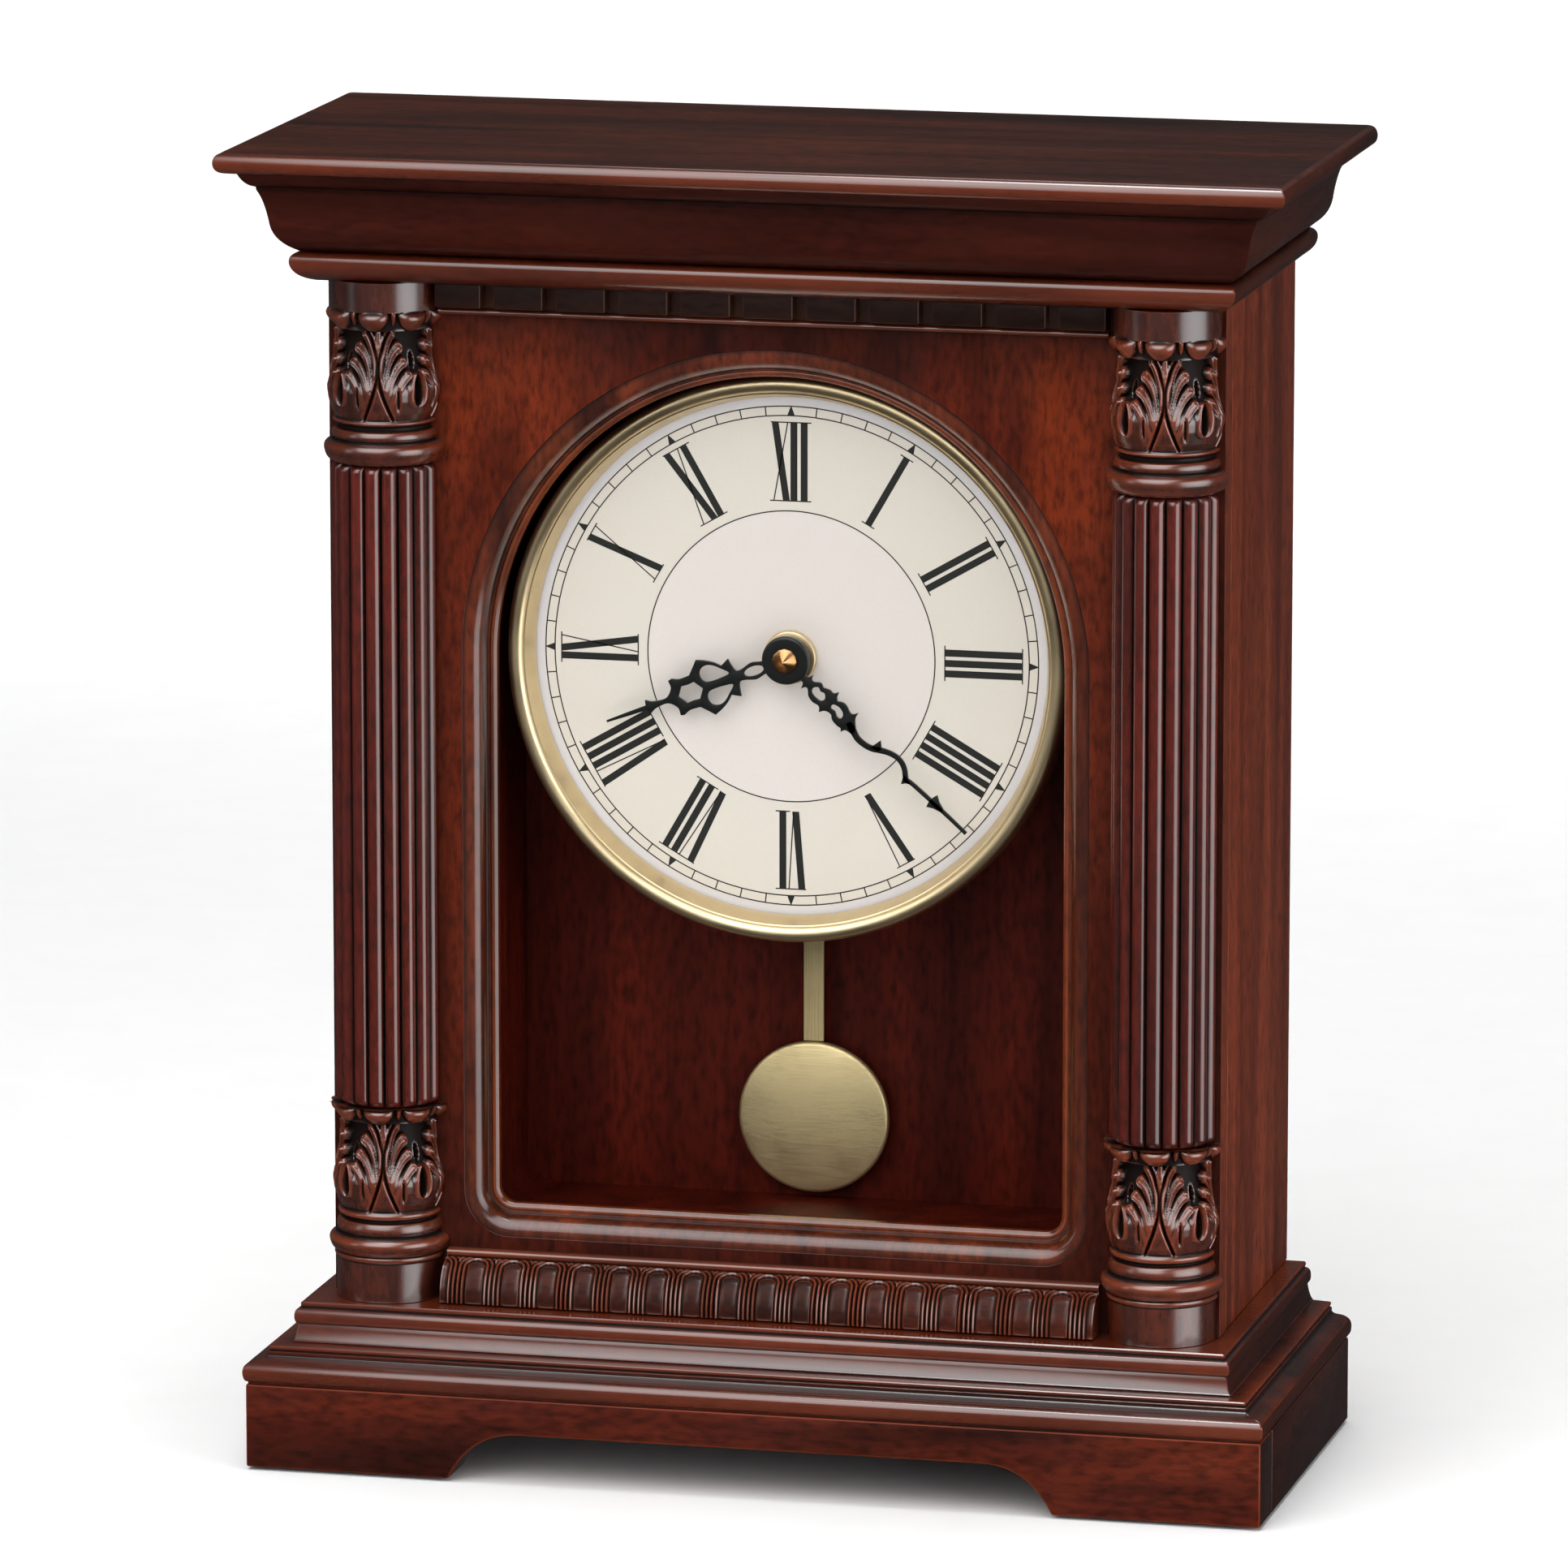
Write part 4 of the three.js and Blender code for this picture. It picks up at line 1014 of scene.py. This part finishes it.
def dial_print():
    """Three rings, a minute track with a small wedge at each hour, and the numerals."""
    marks = [printed_ring(radius) for radius in (INNER_RING_R, TRACK_IN, TRACK_OUT)]
    wedge_top = TRACK_OUT + 0.1
    wedge = [(TRACK_IN, -0.9), (TRACK_IN, 0.9), (wedge_top, 0.04), (wedge_top, -0.04)]
    for minute in range(60):
        if minute % 5:
            marks.append(stroke(minute * 6, (TRACK_IN, 0), (TRACK_OUT, 0), HAIRLINE))
        else:
            marks.append(printed(minute * 6, wedge, 0.03))
    names = ["XII", "I", "II", "III", "IIII", "V", "VI", "VII", "VIII", "IX", "X", "XI"]
    marks += [numeral(hour * 30, letters) for hour, letters in enumerate(names)]
    return merged(*marks)


def build_dial():
    plate = [(4.8, DIAL_FRONT), (62.6, DIAL_FRONT), (62.6, -7.7), (4.8, -7.7)]
    add_piece("dial_face", turned(plate, 0, DIAL_Z, 128, closed=True), "dial",
              ["dial_plate"])
    add_piece("dial_print", dial_print(), "ink")
    ring = trace(
        (61.0, -9.0), (61.2, -9.6), (62.4, -13.8), (62.5, -14.2), (62.8, -14.3),
        ((63.4, -15.4), (64.7, -15.4)), ((66.3, -15.3), (66.5, -13.6)), (66.6, -12.8), (66.6, -7.0),
        (65.4, -7.0), (65.4, -12.6), (63.0, -12.5), (62.4, -9.0), detail=12,
    )
    add_piece("bezel_ring", turned(ring, 0, DIAL_Z, 160, closed=True), "brass",
              ["bezel"])
    washer = trace((4.6, -8.8), (4.6, -10.3), (5.9, -10.3), ((6.25, -10.2), (6.25, -9.8)), (6.25, -8.8))
    add_piece("hand_washer", turned(washer, 0, DIAL_Z, closed=True), "brass",
              ["dial_washer"])


# --- hands

def ribbon(degrees, stations, front, rear):
    """A thin bar along stations of (out, aside, half width)."""
    line = smooth_line(stations)
    rings = []
    for i, (out, aside, half) in enumerate(line):
        before, after = line[max(i - 1, 0)], line[min(i + 1, len(line) - 1)]
        way = np.array(after[:2]) - np.array(before[:2])
        way = way / max(np.hypot(*way), 1e-9)
        section = [(-half, rear), (-half, front), (half, front), (half, rear)]
        rings.append([on_dial(degrees, out - s * way[1], aside + s * way[0], y) for s, y in section])
    return loft(rings)


def curves(*runs):
    """One line through smooth runs that each go on from the last one's end, with a corner there."""
    line, end = [], []
    for run in runs:
        points = end + run
        line += [tuple(point) for point in smooth_line(points)][:-1]
        end = [points[-1]]
    return line + end


def smooth_hole(points):
    return [tuple(point) for point in smooth_line(points, closed=True)]


def stamped(degrees, outline, holes, front, rear):
    """A flat stamping in front of the dial, from closed lines of (out, aside)."""
    def placed(line):
        spots = [on_dial(degrees, out, aside, 0) for out, aside in line]
        return [(x, z) for x, _, z in spots]

    return pierced_board(placed(outline), [placed(hole) for hole in holes], front, rear)


def ellipse(out, aside, half_long, half_wide, steps=40):
    turns = [2 * math.pi * k / steps for k in range(steps)]
    return [(out + half_long * math.cos(a), aside + half_wide * math.sin(a)) for a in turns]


def mirrored(line):
    return [(out, -aside) for out, aside in line]


def build_hour_hand():
    front, rear = -12.3, -11.5
    side = curves(
        [(4.0, 1.7), (6.2, 1.55), (8.6, 2.05), (11.2, 1.35), (12.6, 1.4), (13.2, 2.8), (13.5, 4.65)],
        [(15.6, 3.6)],
        [(17.1, 4.95), (19.0, 6.05), (20.9, 6.8)],
        [(22.2, 5.4), (23.7, 3.9)],
        [(26.3, 3.85), (28.0, 4.5)],
        [(28.9, 4.3)],
        [(28.9, 2.4), (30.6, 0.75), (32.6, 0.65), (34.4, 1.0), (35.8, 1.8)],
        [(36.1, 0.55)],
        [(41.0, 0.45), (46.3, 0.26)],
    )
    drop = [
        (14.4, 1.45), (16.0, 3.1), (17.6, 4.4), (19.2, 4.85), (20.7, 4.3), (21.3, 3.0), (20.9, 1.6),
        (19.6, 1.0), (16.5, 1.0),
    ]
    drop = smooth_hole(drop)
    diamond = curves([(21.6, 0), (23.1, 2.1)], [(24.8, 1.95), (26.4, 2.1)], [(27.9, 0)])
    diamond += mirrored(diamond[-2:0:-1])
    holes = [ellipse(8.55, 0, 2.5, 1.1), drop, mirrored(drop), diamond]
    outline = side + mirrored(side[::-1])
    hub = [(3.05, rear), (3.05, front), (4.6, front), (4.6, rear)]
    shape = merged(stamped(HOUR_ANGLE, outline, holes, front, rear), turned(hub, 0, DIAL_Z, 48, closed=True))
    add_piece("hand_hour", shape, "hand_black", ["hour_hand"], body="hour_train",
              bevel=0.14)


def build_minute_hand():
    front, rear = -14.3, -13.5
    upper = curves(
        [(4.5, -0.8), (6.2, -0.8), (6.7, -1.3), (6.9, -2.25)],
        [(7.4, -1.2), (8.2, -1.1), (9.5, -2.05), (10.7, -1.65)],
        [(12.2, -2.35), (13.3, -2.4), (14.1, -3.5)],
        [(14.5, -2.3), (15.2, -1.65)],
        [(16.2, -2.25), (17.4, -2.4), (19.3, -1.75), (20.1, -2.2), (20.6, -3.1)],
        [(21.1, -1.4), (23.0, 0.4)],
    )
    lower = curves(
        [(4.5, 0.8), (6.2, 0.8), (6.7, 1.3), (7.0, 2.2)],
        [(7.6, 1.2), (8.3, 1.2), (9.4, 2.2), (11.0, 2.6), (12.8, 2.3), (13.8, 3.3)],
        [(14.5, 2.2), (15.4, 1.75), (16.3, 1.7)],
        [(17.4, 2.5), (19.2, 2.65), (20.0, 2.5), (20.6, 3.1)],
        [(21.2, 2.0), (23.0, 1.7)],
    )
    first = [
        (9.0, 0.1), (9.8, -0.95), (10.8, -0.6), (11.8, -0.9), (12.7, 0.0), (12.3, 1.1), (10.8, 1.35),
        (9.5, 1.1),
    ]
    second = [
        (14.9, -0.2), (15.6, -0.75), (17.0, -0.9), (18.3, -0.3), (18.5, 0.8), (17.6, 1.15), (16.4, 0.55),
        (15.2, 0.65),
    ]
    holes = [smooth_hole(hole) for hole in (first, second)]
    knots = stamped(MINUTE_ANGLE, upper + lower[::-1], holes, front, rear)
    wire = [
        (20.4, 0.2, 0.6), (21.8, 0.6, 0.8), (23.5, 1.25, 0.7), (25.0, 1.55, 0.68), (27.0, 1.35, 0.66),
        (28.6, 0.8, 0.68), (30.0, -0.1, 0.68), (31.5, -0.95, 0.62), (33.0, -1.55, 0.6), (34.5, -1.8, 0.58),
        (36.0, -1.58, 0.58), (37.4, -0.9, 0.58), (38.6, 0.1, 0.6), (39.3, 0.55, 0.55), (41.0, 0.3, 0.45),
        (46.0, 0.12, 0.45), (52.0, 0.0, 0.42), (57.9, 0.0, 0.38),
    ]
    thorn = [(28.0, 0.9), (28.4, -0.4), (28.7, -2.0), (30.3, -0.6), (30.0, 0.4)]
    pearl = [(37.9, -0.2), (38.6, 1.2), (39.1, 2.15), (39.7, 1.3), (40.9, 0.5), (39.4, 0.2)]
    spade = [(46.5, 0.0), (46.7, 1.1), (46.95, 1.9), (48.4, 1.0), (50.4, 0.4)]
    spade += mirrored(spade[::-1])[:-1]
    shapes = [knots, ribbon(MINUTE_ANGLE, wire, front, rear)]
    shapes += [stamped(MINUTE_ANGLE, outline, [], front, rear) for outline in (thorn, pearl, spade)]
    hub = trace(
        (1.1, -12.95), (1.1, -14.5), (5.0, -14.5), ((5.65, -14.45), (5.65, -13.9)), (5.65, -13.15),
        (5.4, -12.95),
    )
    shapes.append(turned(hub, 0, DIAL_Z, 64, closed=True))
    add_piece("hand_minute", merged(*shapes), "hand_black", ["minute_hand"],
              body="minute_train", bevel=0.1)
    cone = [(0, -17.4), (2.5, -15.3), (2.9, -15.1), (2.9, -14.6), (1.1, -14.6), (1.1, -15.7), (0, -15.7)]
    add_piece("hand_nut", turned(cone, 0, DIAL_Z, 12), "nut_brass", ["cap_nut"],
              body="minute_train", sharp=15)


# --- pendulum and back

def build_pendulum():
    front, rear = PENDULUM_Y - 0.4, PENDULUM_Y + 0.4
    half, hole, reach = 2.4, 0.98, 2.6
    strip = block((-half, half), (front, rear), (BOB_Z + BOB_R + 0.25, PIVOT_Z - 2.2))
    eye = turned([(hole, front), (reach, front), (reach, rear), (hole, rear)], 0, PIVOT_Z, 48, closed=True)
    add_piece("pendulum_strip", merged(strip, eye), "rod_brass", ["pendulum_rod"],
              body="pendulum", bevel=0.12)
    lens = trace(
        (0, 11.9), ((9.0, 11.9), (17.2, 13.6)), ((18.0, 13.8), (BOB_R, 14.4)), (BOB_R, 15.2),
        ((18.0, 15.8), (17.0, 15.9)), (0, 16.2), detail=10,
    )
    add_piece("pendulum_disc", turned(lens, 0, BOB_Z, 128), "bob_brass",
              ["pendulum_bob"], body="pendulum")


def build_back():
    """The door with its seven sound slots, and the door's knob."""
    front, rear = 44.5, 49.0
    left, right = -96.2, 93.4
    low, high = BASE_TOP + 0.8, CORNICE_BOTTOM - 0.8
    outline = [(left, low), (right, low), (right, high), (left, high)]
    slot_low, slot_high, half, pitch = 79.3, 110.7, 1.3, 6.0
    slots = []
    for k in range(-3, 4):
        ends = arc(k * pitch, slot_low, half, 180, 360, 8) + arc(k * pitch, slot_high, half, 0, 180, 8)
        slots.append(ends)
    shape = pierced_board(outline, slots, front, rear)
    add_piece("door_panel", shape, "ply_z", ["back_door"], body="back_door", bevel=0.25)
    knob_x, knob_z = -82, 165
    knob = trace(
        (0, 49.15), (3.0, 49.15), ((2.4, 50.0), (2.5, 51.2)), ((4.0, 51.8), (5.0, 53.0)),
        ((5.0, 54.8), (0, 55.1)),
    )
    add_piece("door_pull", turned(knob, knob_x, knob_z, 64), "rod_brass",
              ["door_knob"], body="back_door")


def dress_cad():
    """Finishes for the CAD pieces that show as they are."""
    posts = [f"dial_post_{high}_{side}" for high in ("upper", "lower") for side in ("left", "right")]
    chosen = {
        "recess_z": ["recess_back_panel"],
        "case_x": ["plinth_rear"],
        "ply_z": ["cleat_left", "cleat_right"],
        "brass": ["hinge_leaf_case", "hinge_leaf_door", "hinge_pin"],
        "steel": ["dial_pan", "minute_arbor", "pendulum_hanger", "speaker_magnet", *posts],
        "black_plastic": [
            "movement_housing", "movement_cover", "drive_capsule", "set_knob", "magnet_catch",
            "speaker_basket",
        ],
        "nylon": ["hour_wheel", "minute_wheel", "chime_selector", "volume_selector"],
        "circuit": ["circuit_board"],
        "cell": ["battery_left", "battery_right"],
        "felt": ["felt_strip_left", "felt_strip_right"],
    }
    for look, names in chosen.items():
        for name in names:
            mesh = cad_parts[name].data
            mesh.materials.clear()
            mesh.materials.append(LOOKS[look])


# --- studio

def soft_box(name, place, target, width, height, glow, spread):
    """A soft box whose face has the radiance glow, with a grid in front where spread is below 180 degrees."""
    half = math.radians(spread) / 2
    light = bpy.data.lights.new(name, "AREA")
    light.shape = "RECTANGLE"
    light.size, light.size_y = width, height
    light.energy = glow * math.pi * width * height * (1 - half / math.tan(half))
    light.spread = 2 * half
    lamp = put_in_scene(name, light)
    lamp.location = place
    lamp.rotation_euler = (Vector(target) - Vector(place)).to_track_quat("-Z", "Y").to_euler()
    lamp.visible_camera = False


def build_room():
    """A pale floor and low walls that glow a little, so that every side has a bright background."""
    reach, wall_height = 4.6, 0.9
    corners = [(-reach, -reach), (reach, -reach), (reach, reach), (-reach, reach)]
    low, high = ([(x, y, z) for x, y in corners] for z in (0, wall_height))
    sides = [(k, (k + 1) % 4, (k + 1) % 4 + 4, k + 4) for k in range(4)]
    paint = {name: plain(f"{name}_paint", WALL_PAINT, 0.7, 40, speckle=0.02) for name in ("wall", "floor")}
    glowing = paint["wall"].node_tree.nodes["Principled BSDF"].inputs
    glowing["Emission Color"].default_value = (1, 1, 1, 1)
    glowing["Emission Strength"].default_value = 0.85
    for name, verts, faces, material in (
        ("floor", low, [(0, 1, 2, 3)], paint["floor"]),
        ("walls", low + high, sides, paint["wall"]),
    ):
        mesh = bpy.data.meshes.new(name)
        mesh.from_pydata(verts, [], faces)
        mesh.materials.append(material)
        stage = put_in_scene(name, mesh)
        stage.visible_glossy = False  # the room in front of the clock is dark in its gloss


def build_lights():
    """Soft boxes round the clock, and wide ones overhead that whiten the floor. Places are in metres."""
    middle, foot = (0, 0, 0.16), (0, 0, 0.1)
    for name, place, target, width, height, glow, spread in (
        ("key", (0.62, -2.1, 1.05), middle, 0.8, 0.6, 1.0, 50),
        ("left_wall", (-1.6, -1.0, 0.6), middle, 0.3, 1.4, 2.0, 60),
        ("right_wall", (1.62, -0.66, 0.35), middle, 1.9, 1.9, 3.6, 110),
        ("front_left", (-0.23, -0.94, 1.25), foot, 1.5, 2.4, 3.7, 120),
        ("behind", (0, 1.9, 2.1), foot, 1.6, 0.8, 2.0, 60),
    ):
        soft_box(name, place, target, width, height, glow, spread)
    overhead = 2.3
    for name, x, y, width, depth, glow in (
        ("floor_behind", 0, 2.5, 4.6, 3.0, 44),
        ("floor_middle", 0, 0.25, 4.6, 1.5, 18),
        ("floor_front", 0, -2.9, 4.6, 3.4, 14),
        ("floor_left", -3.5, 0, 2.2, 9.2, 14),
        ("floor_right", 3.5, 0, 2.2, 9.2, 14),
    ):
        soft_box(name, (x, y, overhead), (x, y, 0), width, depth, glow, spread=32)
    world = bpy.data.worlds.new("studio")
    world.use_nodes = True
    background = world.node_tree.nodes["Background"].inputs
    background["Color"].default_value = (0.9, 0.92, 0.95, 1)
    background["Strength"].default_value = 0.05
    bpy.context.scene.world = world
    bpy.context.scene.view_settings.view_transform = "Standard"


def build_camera():
    camera = bpy.data.cameras.new("camera")
    camera.lens = CAMERA_LENS
    camera.sensor_width = 36.0
    camera.clip_end = 50.0
    rig = put_in_scene("camera", camera)
    rig.location = CAMERA_PLACE
    rig.rotation_euler = (math.radians(90 - CAMERA_TILT), 0, math.radians(CAMERA_TURN))
    bpy.context.scene.camera = rig


for build in (
    build_base, build_cornice, build_plinth, build_front_board, build_case, build_columns, build_dentils,
    build_reels, build_dial, build_hour_hand, build_minute_hand, build_pendulum, build_back, dress_cad,
    build_room, build_lights, build_camera,
):
    build()
